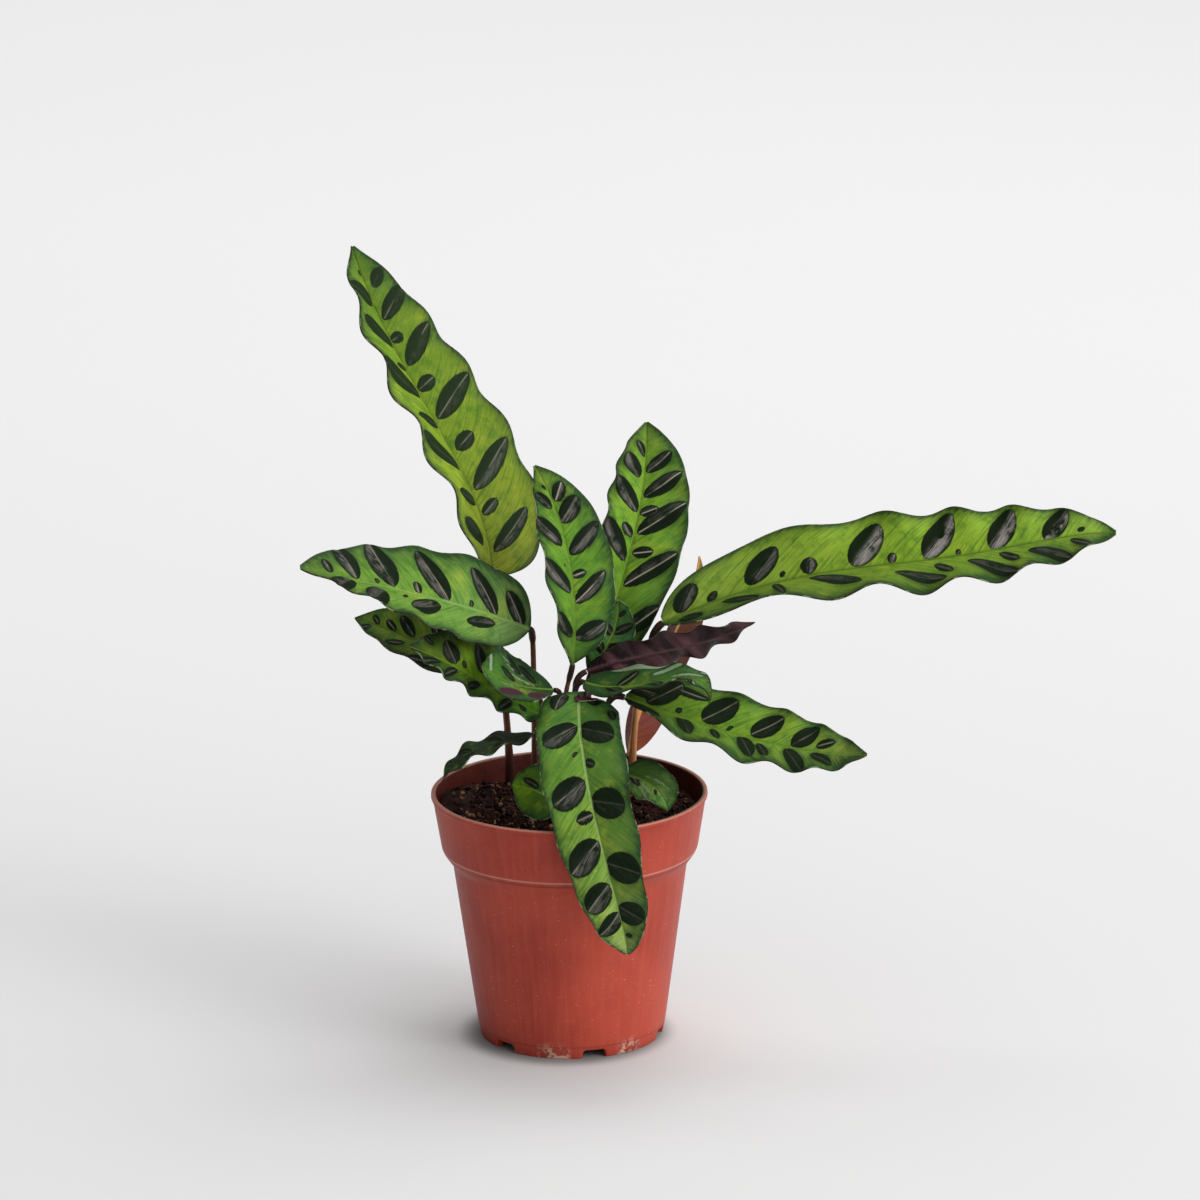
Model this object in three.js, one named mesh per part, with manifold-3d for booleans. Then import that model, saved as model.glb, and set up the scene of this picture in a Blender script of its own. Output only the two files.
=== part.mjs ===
import * as THREE from 'three';
import { mergeVertices } from 'three/addons/utils/BufferGeometryUtils.js';
import Module from 'manifold-3d';

const wasm = await Module();
wasm.setup();

// Driving dimensions, mm and degrees. The origin is the middle of the pot's underside, and the front is -Y.
const rimRadius = 60;
const potHeight = 109.5;
const wall = 1.2;
const lipProud = 0.7;
const lipHeight = 2.4;
const lipRoundFoot = 0.7;
const lipRoundTop = 0.2;
const collarDrop = 25;
const collarFootRadius = 55.6;
const stepDrop = 31.5;
const bodyTopRadius = 51;
const bodyFootRadius = 41;
const footRingRadius = 39.8;
const footRingHeight = 5.5;
const footRingWidth = 2.6;
const floorRise = 3.4;
const floorThickness = 1.6;
const centrePadRadius = 8;
const centrePadSlope = 2;
const innerStepRise = 1;
const potSides = 48;

const notchCount = 6;
const notchWidth = 10;
const notchHeight = 4;
const notchReach = 10.4;
const firstNotchAngle = 14;
const drainCount = 8;
const drainRadius = 4.5;
const drainCircleRadius = 24;
const drainSides = 12;

const soilDrop = 8;
const soilMound = -3;
const soilTilt = [-0.03, 0];
const soilHollow = 9;
const soilEdgeDrop = 14;
const soilLump = 0.6;
const soilLumpLength = [7, 6];
const soilLumpShift = 1;
const soilPlay = 0.35;
const soilRings = 4;
const soilSides = 36;
const gap = 0.3;
const weldDistance = 0.0001;

const bladeThickness = 0.7;
const bladeStart = 0.004;
const bladeEnd = 0.99;
const tipTaper = 0.06;
const tipPower = 0.7;
const footTaper = 0.03;
const footPower = 0.5;
const lobeRatio = 0.87;
const lobeRise = 1.8;
const lastLobeShare = 0.02;
const camber = 0.1;
const stalkDepth = 12;
const stalkSides = 6;
const stalkSteps = 8;
const stalkTaper = 0.8;
const jointLength = 9;
const jointSwell = 1.35;

const green = 0x5b8a2c;
const darkGreen = 0x2f5a2b;
const maroon = 0x4a2335;
const brown = 0x6b3a26;
const terracotta = 0xb05a48;
const peat = 0x3a2418;
const roughness = { pot: 0.55, soil: 0.95, blade: 0.45, stalk: 0.5 };

// A leaf's rib runs through evenly spaced points from the foot of the blade to its tip.
// face: the way the upper side looks, as its turn from the front and its rise, from the foot to the tip.
// fold: how far each half is raised. skew: how much wider the right half is than the left one.
// right and left: the places of that margin's first and last lobe along the rib, and how many there are.
// wave and scallop: how high the lobes rise, and how far they stand out.
// foot: where the stalk stands in the soil. rise and reach: how far it runs on straight from there, and
// how far it runs in line with the rib before the blade.
const leaves = {
  tall_left: {
    rib: [[-33, 18, 201], [-44, 34, 241], [-70, 54, 286], [-93, 78, 336]],
    width: 57.8, skew: 0.02, widest: 0.34, fullness: 0.76,
    face: [[46, 7], [52, 6], [44, 21]], fold: [31, 26],
    right: [0.2, 0.9, 5], left: [0.23, 0.95, 5], wave: 2.6, scallop: 0.05, steps: 36, across: 6,
    foot: [-26, 38], rise: 60, reach: 30, stalk: 1.6, colour: green,
  },
  upper_left: {
    rib: [[-16, -6, 184], [-43, -16, 197], [-74, -28, 209], [-114, -40, 222]],
    width: 41.9, skew: 0.22, widest: 0.5, fullness: 0.75,
    face: [[-8, 26], [-15, 78]], fold: [0, 16],
    right: [0.05, 0.9, 5], left: [0.14, 0.88, 5], wave: 1.2, scallop: 0.03, steps: 26, across: 4,
    foot: [-15, 14], rise: 68, reach: 2, stalk: 1.4, colour: darkGreen,
  },
  back_left: {
    rib: [[-20, 4, 159], [-47, 14, 165], [-72, 30, 171], [-94, 46, 175]],
    width: 25.7, skew: 0.18, widest: 0.44, fullness: 1.28,
    face: [[0, 45], [0, 44]], fold: [10, 19],
    right: [0.15, 0.84, 4], left: [0.21, 0.89, 4], wave: 0.7, scallop: 0.078, steps: 20, across: 4,
    foot: [-11, 20], rise: 34, reach: 12, stalk: 1.2, colour: darkGreen,
  },
  lower_left: {
    rib: [[-12, -6, 146], [-29, -14, 158], [-48, -22, 172], [-68, -30, 184]],
    width: 31, skew: 0.35, widest: 0.36, fullness: 1.0,
    face: [[10, 60], [0, 45]], fold: [14, 14],
    right: [0.2, 0.9, 5], left: [0.15, 0.9, 5], wave: 1.8, scallop: 0.08, steps: 24, across: 4,
    foot: [-14, -4], rise: 40, reach: 10, stalk: 1.3, colour: darkGreen,
  },
  curled_left: {
    rib: [[-6, -4, 156], [-18, -13, 160], [-27, -22, 166], [-37, -30, 175]],
    width: 29.5, skew: 0.02, widest: 0.6, fullness: 1.17,
    face: [[10, 59], [6, 50]], fold: [33, 15],
    right: [0.25, 0.8, 3], left: [0.19, 0.86, 3], wave: 0.3, scallop: 0.013, steps: 18, across: 4,
    foot: [-9, 5], rise: 40, reach: 8, stalk: 1.1, colour: darkGreen,
  },
  front_upright: {
    rib: [[2, -10, 169], [3, -15, 195], [-1, -10, 226], [-14, 0, 256]],
    width: 32.3, skew: 0.19, widest: 0.5, fullness: 1.35,
    face: [[43, -3], [16, 10]], fold: [32, 4],
    right: [0.08, 0.9, 5], left: [0.02, 0.77, 4], wave: 1.5, scallop: 0.012, steps: 26, across: 4,
    foot: [-5, 1], rise: 50, reach: 9, stalk: 1.2, colour: green,
  },
  back_upright: {
    rib: [[10, 12, 155], [25, 24, 202], [33, 38, 234], [35, 54, 261]],
    width: 38.3, skew: 0.16, widest: 0.48, fullness: 1.06,
    face: [[13, 1], [8, 0]], fold: [27, 15],
    right: [0.18, 0.82, 5], left: [0.28, 0.8, 4], wave: 1.8, scallop: 0.015, steps: 26, across: 4,
    foot: [14, 14], rise: 40, reach: 20, stalk: 1.4, colour: green,
  },
  middle_small: {
    rib: [[11, 6, 163], [17, 6, 173], [21, 5, 183], [22, 1, 195]],
    width: 18, skew: 0.05, widest: 0.45, fullness: 1.1,
    face: [[4, 0], [7, -1]], fold: [13, 14],
    right: [0.29, 0.68, 2], left: [0.25, 0.77, 2], wave: 0.8, scallop: 0.04, steps: 12, across: 4,
    foot: [8, 7], rise: 40, reach: 10, stalk: 1, colour: darkGreen,
  },
  long_right: {
    rib: [[40, 10, 181], [108, 6, 204], [155, -2, 212], [197, -10, 221], [236, -16, 227]],
    width: 44.1, skew: -0.05, widest: 0.34, fullness: 0.82,
    face: [[-12, 61], [-9, 53], [0, 41]], fold: [34, 11],
    right: [0.1, 0.87, 5], left: [-0.05, 0.85, 6], wave: 3.5, scallop: 0.07, steps: 36, across: 6,
    foot: [27, 18], rise: 60, reach: 4, stalk: 1.6, colour: green,
  },
  purple_right: {
    rib: [[8, -3, 164], [31, 2, 169], [56, 11, 172], [82, 24, 178]],
    width: 16, skew: 0.03, widest: 0.45, fullness: 1.1,
    face: [[180, 2], [180, 24]], fold: [10, 9],
    right: [0.22, 0.86, 4], left: [0.3, 0.9, 4], wave: 2.6, scallop: 0.14, steps: 20, across: 4,
    foot: [4, 2], rise: 45, reach: 10, stalk: 1.2, colour: maroon,
  },
  curled_right: {
    rib: [[7, -6, 160], [31, -18, 162], [51, -26, 167], [61, -32, 158]],
    width: 23.2, skew: 0.01, widest: 0.28, fullness: 1.23,
    face: [[-3, 68], [21, 86]], fold: [20, 25],
    right: [0.26, 0.87, 3], left: [0.24, 0.78, 3], wave: 1.2, scallop: 0.087, steps: 20, across: 4,
    foot: [2, -5], rise: 40, reach: 8, stalk: 1.2, colour: darkGreen,
  },
  lower_right: {
    rib: [[24, -9, 154], [63, -21, 143], [99, -33, 137], [128, -44, 138]],
    width: 32.9, skew: -0.1, widest: 0.36, fullness: 1.06,
    face: [[0, 66], [0, 43]], fold: [34, 5],
    right: [0.05, 0.88, 5], left: [0.12, 0.88, 5], wave: 2.3, scallop: 0.04, steps: 26, across: 4,
    foot: [14, -4], rise: 44, reach: 10, stalk: 1.4, colour: green,
  },
  front_hanging: {
    rib: [[5, -13, 156], [5, -32, 147], [10, -60, 121], [19, -70, 85], [24, -72, 58]],
    width: 37.0, skew: 0.04, widest: 0.35, fullness: 0.7,
    face: [[1, 84], [-8, 32], [10, 5]], fold: [-3, 20],
    right: [0.23, 0.9, 5], left: [0.17, 0.85, 4], wave: 2.8, scallop: 0.02, steps: 32, across: 6,
    foot: [3, -8], rise: 42, reach: 5, stalk: 1.4, colour: green,
  },
  soil_left: {
    rib: [[-3, -21, 111], [-10, -21, 114], [-17, -21, 117], [-25, -21, 119]],
    width: 24, skew: 0, widest: 0.45, fullness: 1.0,
    face: [[0, 20], [0, 20]], fold: [5, 5],
    right: [0.3, 0.7, 2], left: [0.25, 0.75, 2], wave: 0.5, scallop: 0.03, steps: 12, across: 4,
    foot: [4, -25], rise: 6, reach: 4, stalk: 0.9, colour: green,
  },
  soil_right: {
    rib: [[22, -2, 117], [30, -8, 117], [38, -15, 114], [42.5, -22, 106]],
    width: 21, skew: 0, widest: 0.48, fullness: 1.3,
    face: [[0, 45], [20, 45]], fold: [15, 10],
    right: [0.3, 0.7, 2], left: [0.25, 0.75, 2], wave: 1, scallop: 0.05, steps: 14, across: 4,
    foot: [18, -10], rise: 12, reach: 4, stalk: 0.9, colour: green,
  },
  thin_left: {
    rib: [[-15, -9, 138], [-30, -15, 136], [-44, -21, 132], [-55, -25, 121]],
    width: 18, skew: 0, widest: 0.45, fullness: 1.2,
    face: [[0, 85], [0, 95]], fold: [10, 10],
    right: [0.2, 0.8, 3], left: [0.25, 0.85, 3], wave: 1.5, scallop: 0.06, steps: 18, across: 4,
    foot: [-12, -9], rise: 30, reach: 6, stalk: 1, colour: darkGreen,
  },
  rolled_back: {
    rib: [[26, 26, 117], [35, 32, 145], [49, 42, 173], [58, 54, 200]],
    width: 25, skew: 0, widest: 0.4, fullness: 1.2,
    face: [[150, 0], [150, 0]], fold: [50, 60],
    right: [0.3, 0.8, 2], left: [0.25, 0.75, 2], wave: 1, scallop: 0.05, steps: 18, across: 4,
    foot: [24, 24], rise: 10, reach: 8, stalk: 1.5, colour: maroon,
  },
};

const radians = THREE.MathUtils.degToRad;
const object = new THREE.Group();

function addMesh(name, geometry, colour, rough) {
  const material = new THREE.MeshStandardMaterial({ color: colour, roughness: rough, metalness: 0 });
  const mesh = new THREE.Mesh(geometry, material);
  mesh.name = name;
  object.add(mesh);
}

// The value at t, 0 to 1, of the smooth curve through evenly spaced numbers.
function through(values, t) {
  const last = values.length - 1;
  let sum = 0;
  for (let i = 0; i <= last; i++) {
    let weight = 1;
    for (let j = 0; j <= last; j++) {
      if (j !== i) weight *= (t * last - j) / (i - j);
    }
    sum += weight * values[i];
  }
  return sum;
}

function ribPoint(leaf, u) {
  const along = [0, 1, 2].map((axis) => through(leaf.rib.map((point) => point[axis]), u));
  return new THREE.Vector3(...along);
}

function ribDirection(leaf, u) {
  const step = 0.001;
  return ribPoint(leaf, u + step).sub(ribPoint(leaf, u - step)).normalize();
}

// The way the upper side looks at u.
function upperSide(leaf, u) {
  const turn = radians(through(leaf.face.map((look) => look[0]), u));
  const rise = radians(through(leaf.face.map((look) => look[1]), u));
  const level = Math.cos(rise);
  const look = new THREE.Vector3(Math.sin(turn) * level, -Math.cos(turn) * level, Math.sin(rise));
  const along = ribDirection(leaf, u);
  return look.addScaledVector(along, -look.dot(along)).normalize();
}

// A lance-shaped half width: 1 at the widest place, 0 at the rounded foot and at the tip, drawn to a point.
function lanceShape(leaf, u) {
  const before = leaf.fullness * leaf.widest;
  const after = leaf.fullness * (1 - leaf.widest);
  const point = Math.pow(1 - Math.exp((u - 1) / tipTaper), tipPower);
  const round = Math.pow(1 - Math.exp(-u / footTaper), footPower);
  return Math.pow(u / leaf.widest, before) * Math.pow((1 - u) / (1 - leaf.widest), after) * point * round;
}

// How many lobes lie before u: each lobe is a little shorter than the one before it.
function lobeCount([first, last, count], u) {
  const rest = 1 - ((u - first) / (last - first)) * (1 - Math.pow(lobeRatio, count - 1));
  return Math.log(Math.max(rest, lastLobeShare)) / Math.log(lobeRatio);
}

// A point of the blade's middle surface: u from foot to tip, v from the left margin (-1) to the right (1).
function bladePoint(leaf, u, v) {
  const along = ribDirection(leaf, u);
  const up = upperSide(leaf, u);
  const side = new THREE.Vector3().crossVectors(along, up);
  const out = Math.abs(v);
  const lobes = 2 * Math.PI * lobeCount(v < 0 ? leaf.left : leaf.right, u);
  const ease = Math.sqrt(Math.max(Math.sin(Math.PI * u), 0));
  const half = (leaf.width / 2) * lanceShape(leaf, u) * (1 + leaf.skew * Math.sign(v));
  const fold = radians(THREE.MathUtils.lerp(leaf.fold[0], leaf.fold[1], u));
  const distance = half * out * (1 + leaf.scallop * Math.cos(lobes) * ease * out * out);
  const height = leaf.wave * Math.pow(out, lobeRise) * Math.sin(lobes) * ease - camber * half * out * out;
  return ribPoint(leaf, u)
    .addScaledVector(side, Math.sign(v) * (distance * Math.cos(fold) - height * Math.sin(fold)))
    .addScaledVector(up, distance * Math.sin(fold) + height * Math.cos(fold));
}

function bladeNormal(leaf, u, v) {
  const step = 0.02;
  const across = bladePoint(leaf, u, v + step).sub(bladePoint(leaf, u, v - step));
  const along = bladePoint(leaf, Math.min(u + step, 1), v).sub(bladePoint(leaf, Math.max(u - step, 0), v));
  return across.cross(along).normalize();
}

function indexed(positions, triangles) {
  const geometry = new THREE.BufferGeometry();
  geometry.setAttribute('position', new THREE.Float32BufferAttribute(positions, 3));
  geometry.setIndex(triangles);
  return geometry;
}

// A blade: an upper and a lower face, split into triangles alike, and a strip round the margin.
function bladeGeometry(leaf) {
  const rows = leaf.steps + 1;
  const columns = leaf.across + 1;
  const positions = [];
  for (const face of [0.5, -0.5]) {
    for (let row = 0; row < rows; row++) {
      const u = THREE.MathUtils.lerp(bladeStart, bladeEnd, row / leaf.steps);
      for (let column = 0; column < columns; column++) {
        const v = (2 * column) / leaf.across - 1;
        const offset = bladeNormal(leaf, u, v).multiplyScalar(face * bladeThickness);
        positions.push(...bladePoint(leaf, u, v).add(offset).toArray());
      }
    }
  }
  const lower = rows * columns;
  const triangles = [];
  for (let row = 0; row < leaf.steps; row++) {
    for (let column = 0; column < leaf.across; column++) {
      const a = row * columns + column;
      const b = a + 1;
      const c = a + columns;
      const d = c + 1;
      triangles.push(a, b, d, a, d, c);
      triangles.push(lower + a, lower + d, lower + b, lower + a, lower + c, lower + d);
    }
  }
  const margin = [];
  for (let column = 0; column < leaf.across; column++) margin.push(column);
  for (let row = 0; row < leaf.steps; row++) margin.push(row * columns + leaf.across);
  for (let column = leaf.across; column > 0; column--) margin.push(leaf.steps * columns + column);
  for (let row = leaf.steps; row > 0; row--) margin.push(row * columns);
  margin.forEach((here, place) => {
    const next = margin[(place + 1) % margin.length];
    triangles.push(here, lower + here, next, next, lower + here, lower + next);
  });
  return indexed(positions, triangles);
}

// The soil's top: a shallow dish, a tilt, slow lumps, and a hollow that deepens to the back.
function soilHeight(x, y) {
  const level = potHeight - soilDrop - soilMound * ((x * x + y * y) / (rimRadius * rimRadius));
  const lumps = soilLump * Math.sin(x / soilLumpLength[0]) * Math.cos(y / soilLumpLength[1] + soilLumpShift);
  const hollow = soilHollow * (Math.max(y, 0) / rimRadius) ** 2;
  return level + soilTilt[0] * x + soilTilt[1] * y + lumps - hollow;
}

// The stalk's path: up out of the soil, and in line with the rib where it meets the blade.
function stalkPath(leaf) {
  const [x, y] = leaf.foot;
  const foot = new THREE.Vector3(x, y, soilHeight(x, y) - stalkDepth);
  const along = ribDirection(leaf, bladeStart);
  const head = ribPoint(leaf, bladeStart).addScaledVector(along, -gap);
  const above = foot.clone().add(new THREE.Vector3(0, 0, stalkDepth + leaf.rise));
  const before = head.clone().addScaledVector(along, -leaf.reach);
  return new THREE.CubicBezierCurve3(foot, above, before, head);
}

// A round stalk that thins upwards and swells into a joint under the blade. extra widens it, for its hole.
function stalkGeometry(leaf, extra) {
  const path = stalkPath(leaf);
  const length = path.getLength();
  const frames = path.computeFrenetFrames(stalkSteps, false);
  const positions = [];
  for (let step = 0; step <= stalkSteps; step++) {
    const t = step / stalkSteps;
    const centre = path.getPointAt(t);
    const swell = (1 - t) * length < jointLength ? jointSwell : 1;
    const end = step === 0 ? -extra : 0;
    const radius = leaf.stalk * THREE.MathUtils.lerp(1, stalkTaper, t) * swell + extra;
    for (let turn = 0; turn < stalkSides; turn++) {
      const angle = (2 * Math.PI * turn) / stalkSides;
      const point = centre.clone()
        .addScaledVector(frames.normals[step], radius * Math.cos(angle))
        .addScaledVector(frames.binormals[step], radius * Math.sin(angle))
        .addScaledVector(frames.tangents[step], end);
      positions.push(...point.toArray());
    }
  }
  const triangles = [];
  for (let step = 0; step < stalkSteps; step++) {
    for (let turn = 0; turn < stalkSides; turn++) {
      const a = step * stalkSides + turn;
      const b = step * stalkSides + ((turn + 1) % stalkSides);
      triangles.push(a, b, b + stalkSides, a, b + stalkSides, a + stalkSides);
    }
  }
  const top = stalkSteps * stalkSides;
  for (let turn = 1; turn < stalkSides - 1; turn++) {
    triangles.push(0, turn + 1, turn);
    triangles.push(top, top + turn, top + turn + 1);
  }
  return indexed(positions, triangles);
}

function solidOf(geometry) {
  const bare = geometry.clone();
  bare.deleteAttribute('normal');
  bare.deleteAttribute('uv');
  const merged = mergeVertices(bare, weldDistance);
  return new wasm.Manifold(new wasm.Mesh({
    numProp: 3,
    vertProperties: merged.attributes.position.array,
    triVerts: new Uint32Array(merged.index.array),
  }));
}

function geometryOf(solid) {
  const mesh = solid.getMesh();
  return indexed(Array.from(mesh.vertProperties), Array.from(mesh.triVerts));
}

function latheZ(profile, sides) {
  const geometry = new THREE.LatheGeometry(profile.map(([r, z]) => new THREE.Vector2(r, z)), sides);
  return geometry.rotateX(Math.PI / 2);
}

// The pot: a thin shell with a rolled lip, a collar, a step, a tapered body and a floor on a foot ring.
function potGeometry() {
  const collarZ = potHeight - collarDrop;
  const stepZ = potHeight - stepDrop;
  const innerFoot = bodyFootRadius - wall;
  const floorZ = floorRise + floorThickness;
  const profile = [
    [0, 0],
    [centrePadRadius, 0],
    [centrePadRadius + centrePadSlope, floorRise],
    [footRingRadius - footRingWidth, floorRise],
    [footRingRadius - footRingWidth, 0],
    [footRingRadius, 0],
    [bodyFootRadius, footRingHeight],
    [bodyTopRadius, stepZ],
    [collarFootRadius, collarZ],
    [rimRadius - lipProud, potHeight - lipHeight],
    [rimRadius, potHeight - lipHeight * lipRoundFoot],
    [rimRadius, potHeight - lipHeight * lipRoundTop],
    [rimRadius - lipProud, potHeight],
    [rimRadius - lipProud - wall, potHeight],
    [collarFootRadius - wall, collarZ + innerStepRise],
    [bodyTopRadius - wall, stepZ - innerStepRise],
    [innerFoot, floorZ],
    [0, floorZ],
  ];
  const notch = new THREE.BoxGeometry(notchReach, notchWidth, 2 * notchHeight);
  let solid = solidOf(latheZ(profile, potSides));
  for (let i = 0; i < notchCount; i++) {
    const angle = radians(firstNotchAngle + (i * 360) / notchCount - 90);
    const cutter = notch.clone().translate(footRingRadius, 0, 0).rotateZ(angle);
    solid = solid.subtract(solidOf(cutter));
  }
  for (let i = 0; i < drainCount; i++) {
    const angle = (2 * Math.PI * (i + 0.5)) / drainCount;
    const drill = new THREE.CylinderGeometry(drainRadius, drainRadius, 4 * floorZ, drainSides)
      .rotateX(Math.PI / 2)
      .translate(drainCircleRadius * Math.cos(angle), drainCircleRadius * Math.sin(angle), 0);
    solid = solid.subtract(solidOf(drill));
  }
  return geometryOf(solid);
}

// The soil: a plug that follows the inside of the pot, with an uneven top and a hole for each stalk.
function soilGeometry() {
  const floorZ = floorRise + floorThickness + gap;
  const stepZ = potHeight - stepDrop - innerStepRise;
  const clear = wall + gap + soilPlay;
  const topZ = potHeight - soilEdgeDrop;
  const collarSlope = (rimRadius - lipProud - collarFootRadius) / collarDrop;
  const topRadius = collarFootRadius - clear + (topZ - (potHeight - collarDrop)) * collarSlope;
  const body = [
    [0, floorZ],
    [bodyFootRadius - clear, floorZ],
    [bodyTopRadius - clear, stepZ],
    [collarFootRadius - clear, potHeight - collarDrop + 1.5 * innerStepRise],
  ];
  const crown = [];
  for (let ring = soilRings; ring >= 0; ring--) crown.push([(topRadius * ring) / soilRings, topZ]);
  const geometry = latheZ(body.concat(crown), soilSides);
  const position = geometry.attributes.position;
  for (let i = 0; i < position.count; i++) {
    if (position.getZ(i) > topZ - weldDistance) {
      position.setZ(i, soilHeight(position.getX(i), position.getY(i)));
    }
  }
  let solid = solidOf(geometry);
  for (const leaf of Object.values(leaves)) solid = solid.subtract(solidOf(stalkGeometry(leaf, gap)));
  return geometryOf(solid);
}

addMesh('pot', potGeometry(), terracotta, roughness.pot);
addMesh('soil', soilGeometry(), peat, roughness.soil);
for (const [name, leaf] of Object.entries(leaves)) {
  addMesh(`blade_${name}`, bladeGeometry(leaf), leaf.colour, roughness.blade);
  addMesh(`stalk_${name}`, stalkGeometry(leaf, 0), brown, roughness.stalk);
}

export default object;
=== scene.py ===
import math

import bpy
import numpy as np
from mathutils import Matrix, Vector


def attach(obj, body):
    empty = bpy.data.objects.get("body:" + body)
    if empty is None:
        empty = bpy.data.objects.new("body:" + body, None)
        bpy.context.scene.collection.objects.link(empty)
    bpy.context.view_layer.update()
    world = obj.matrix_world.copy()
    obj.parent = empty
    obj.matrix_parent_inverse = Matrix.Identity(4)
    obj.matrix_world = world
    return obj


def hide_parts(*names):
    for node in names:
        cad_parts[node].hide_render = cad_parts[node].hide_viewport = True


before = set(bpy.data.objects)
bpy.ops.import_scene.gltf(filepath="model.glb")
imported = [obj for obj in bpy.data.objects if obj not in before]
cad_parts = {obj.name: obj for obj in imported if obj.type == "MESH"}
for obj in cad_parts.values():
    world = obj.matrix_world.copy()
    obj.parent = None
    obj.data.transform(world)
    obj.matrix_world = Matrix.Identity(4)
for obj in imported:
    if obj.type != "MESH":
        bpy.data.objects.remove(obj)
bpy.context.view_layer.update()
print("frame loaded:", len(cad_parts), "nodes")

mm = 0.001
scene = bpy.context.scene


# sRGB 0 to 255 to linear light: the two-part curve of the standard.
def linear(colour):
    share = np.asarray(colour, float) / 255
    low, high = share / 12.92, ((share + 0.055) / 1.055) ** 2.4
    return np.where(share <= 0.04045, low, high)


def rgba(colour):
    return (*[float(c) for c in linear(colour)], 1.0)


# The smooth curve through evenly spaced points at t, 0 to 1: each point is weighted by the product of the
# distances to the others (Lagrange).
def through(points, t):
    points = np.asarray(points, float)
    last = len(points) - 1
    place = np.asarray(t, float)[..., None] * last
    total = 0
    for i in range(last + 1):
        weight = np.ones_like(place)
        for j in range(last + 1):
            if j != i:
                weight = weight * (place - j) / (i - j)
        total = total + weight * points[i]
    return total


def unit(vectors):
    return vectors / np.maximum(np.linalg.norm(vectors, axis=-1, keepdims=True), 1e-12)


# A soft step from 0 at low to 1 at high: 3x^2 - 2x^3.
def softStep(low, high, value):
    x = np.clip((value - low) / (high - low), 0, 1)
    return x * x * (3 - 2 * x)


# Smooth value noise, -1 to 1: random numbers on a square lattice of the given cell, blended by soft steps.
def latticeNoise(x, y, cell, seed):
    size = 256
    numbers = np.random.default_rng(seed).uniform(-1, 1, (size + 1, size + 1))
    offset = (128.37, 128.71)      # so that the pot's axis lies off the lattice's lines
    gx, gy = np.asarray(x) / cell + offset[0], np.asarray(y) / cell + offset[1]
    ix, iy = np.floor(gx).astype(int), np.floor(gy).astype(int)
    fx, fy = softStep(0, 1, gx - ix), softStep(0, 1, gy - iy)
    ix, iy = ix % size, iy % size
    near = numbers[ix, iy] * (1 - fx) + numbers[ix + 1, iy] * fx
    far = numbers[ix, iy + 1] * (1 - fx) + numbers[ix + 1, iy + 1] * fx
    return near * (1 - fy) + far * fy


# The faces between rings of points: each joins two neighbours of a ring with the same two of the next ring.
def tubeQuads(rings, columns):
    start = np.arange(rings - 1)[:, None] * columns
    here, after = np.arange(columns), (np.arange(columns) + 1) % columns
    quads = np.stack([start + here, start + after, start + columns + after, start + columns + here], -1)
    return quads.reshape(-1, 4)


# One mesh object from points in mm, with its faces' materials, its point attributes and a UV map.
def makePiece(name, points, faces, materials, faceMaterial=None, numbers={}, colours={}, uv=None, sharp=None):
    mesh = bpy.data.meshes.new(name)
    mesh.from_pydata(np.asarray(points) * mm, [], faces)
    mesh.polygons.foreach_set("use_smooth", np.ones(len(mesh.polygons), bool))
    for material in materials:
        mesh.materials.append(material)
    if faceMaterial is not None:
        mesh.polygons.foreach_set("material_index", np.asarray(faceMaterial, np.int32))
    for key, values in numbers.items():
        flat = np.asarray(values, np.float32).ravel()
        mesh.attributes.new(key, "FLOAT", "POINT").data.foreach_set("value", flat)
    for key, values in colours.items():
        flat = np.concatenate([values, np.ones((len(values), 1))], 1).astype(np.float32).ravel()
        mesh.attributes.new(key, "FLOAT_COLOR", "POINT").data.foreach_set("color", flat)
    if uv is not None:
        corners = np.zeros(len(mesh.loops), np.int32)
        mesh.loops.foreach_get("vertex_index", corners)
        mesh.uv_layers.new(name="surface").uv.foreach_set("vector", uv[corners].astype(np.float32).ravel())
    if sharp is not None:
        mesh.set_sharp_from_angle(angle=math.radians(sharp))
    mesh.update()
    piece = bpy.data.objects.new(name, mesh)
    scene.collection.objects.link(piece)
    return piece


def seat(piece, node):
    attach(piece, "root")
    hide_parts(node)


# A node with its settings, and with wires or plain values on its inputs, by name or number.
def addNode(tree, kind, inputs={}, **settings):
    node = tree.nodes.new(kind)
    for key, value in settings.items():
        setattr(node, key, value)
    for key, value in inputs.items():
        feed(node.inputs[key], value)
    return node


# A value inside a node tree: +, - and * make math nodes, and math() makes any other.
class Wire:
    def __init__(self, socket):
        self.socket = socket
        self.tree = socket.id_data

    def math(self, operation, *others):
        inputs = dict(enumerate((self, *others)))
        return Wire(addNode(self.tree, "ShaderNodeMath", inputs, operation=operation).outputs[0])

    def __add__(self, other):
        return self.math("ADD", other)

    def __sub__(self, other):
        return self.math("SUBTRACT", other)

    def __mul__(self, other):
        return self.math("MULTIPLY", other)


# Links a wire to a socket, or sets a plain value on it.
def feed(socket, value):
    if isinstance(value, Wire):
        value.tree.links.new(value.socket, socket)
    else:
        socket.default_value = value


# 0 at low to 1 at high along a soft step; low may lie above high.
def band(value, low, high):
    inputs = {"Value": value, "From Min": low, "From Max": high}
    return Wire(addNode(value.tree, "ShaderNodeMapRange", inputs, interpolation_type="SMOOTHSTEP").outputs[0])


# The first colour, turned into the second by the share.
def blend(share, first, second):
    inputs = {0: share, 6: first, 7: second}
    return Wire(addNode(share.tree, "ShaderNodeMix", inputs, data_type="RGBA", clamp_factor=True).outputs[2])


def attribute(tree, name, output="Fac"):
    return Wire(addNode(tree, "ShaderNodeAttribute", attribute_name=name).outputs[output])


def objectPlace(tree):
    return Wire(addNode(tree, "ShaderNodeTexCoord").outputs["Object"])


def split(vector):
    return [Wire(socket) for socket in addNode(vector.tree, "ShaderNodeSeparateXYZ", {0: vector}).outputs]


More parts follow.
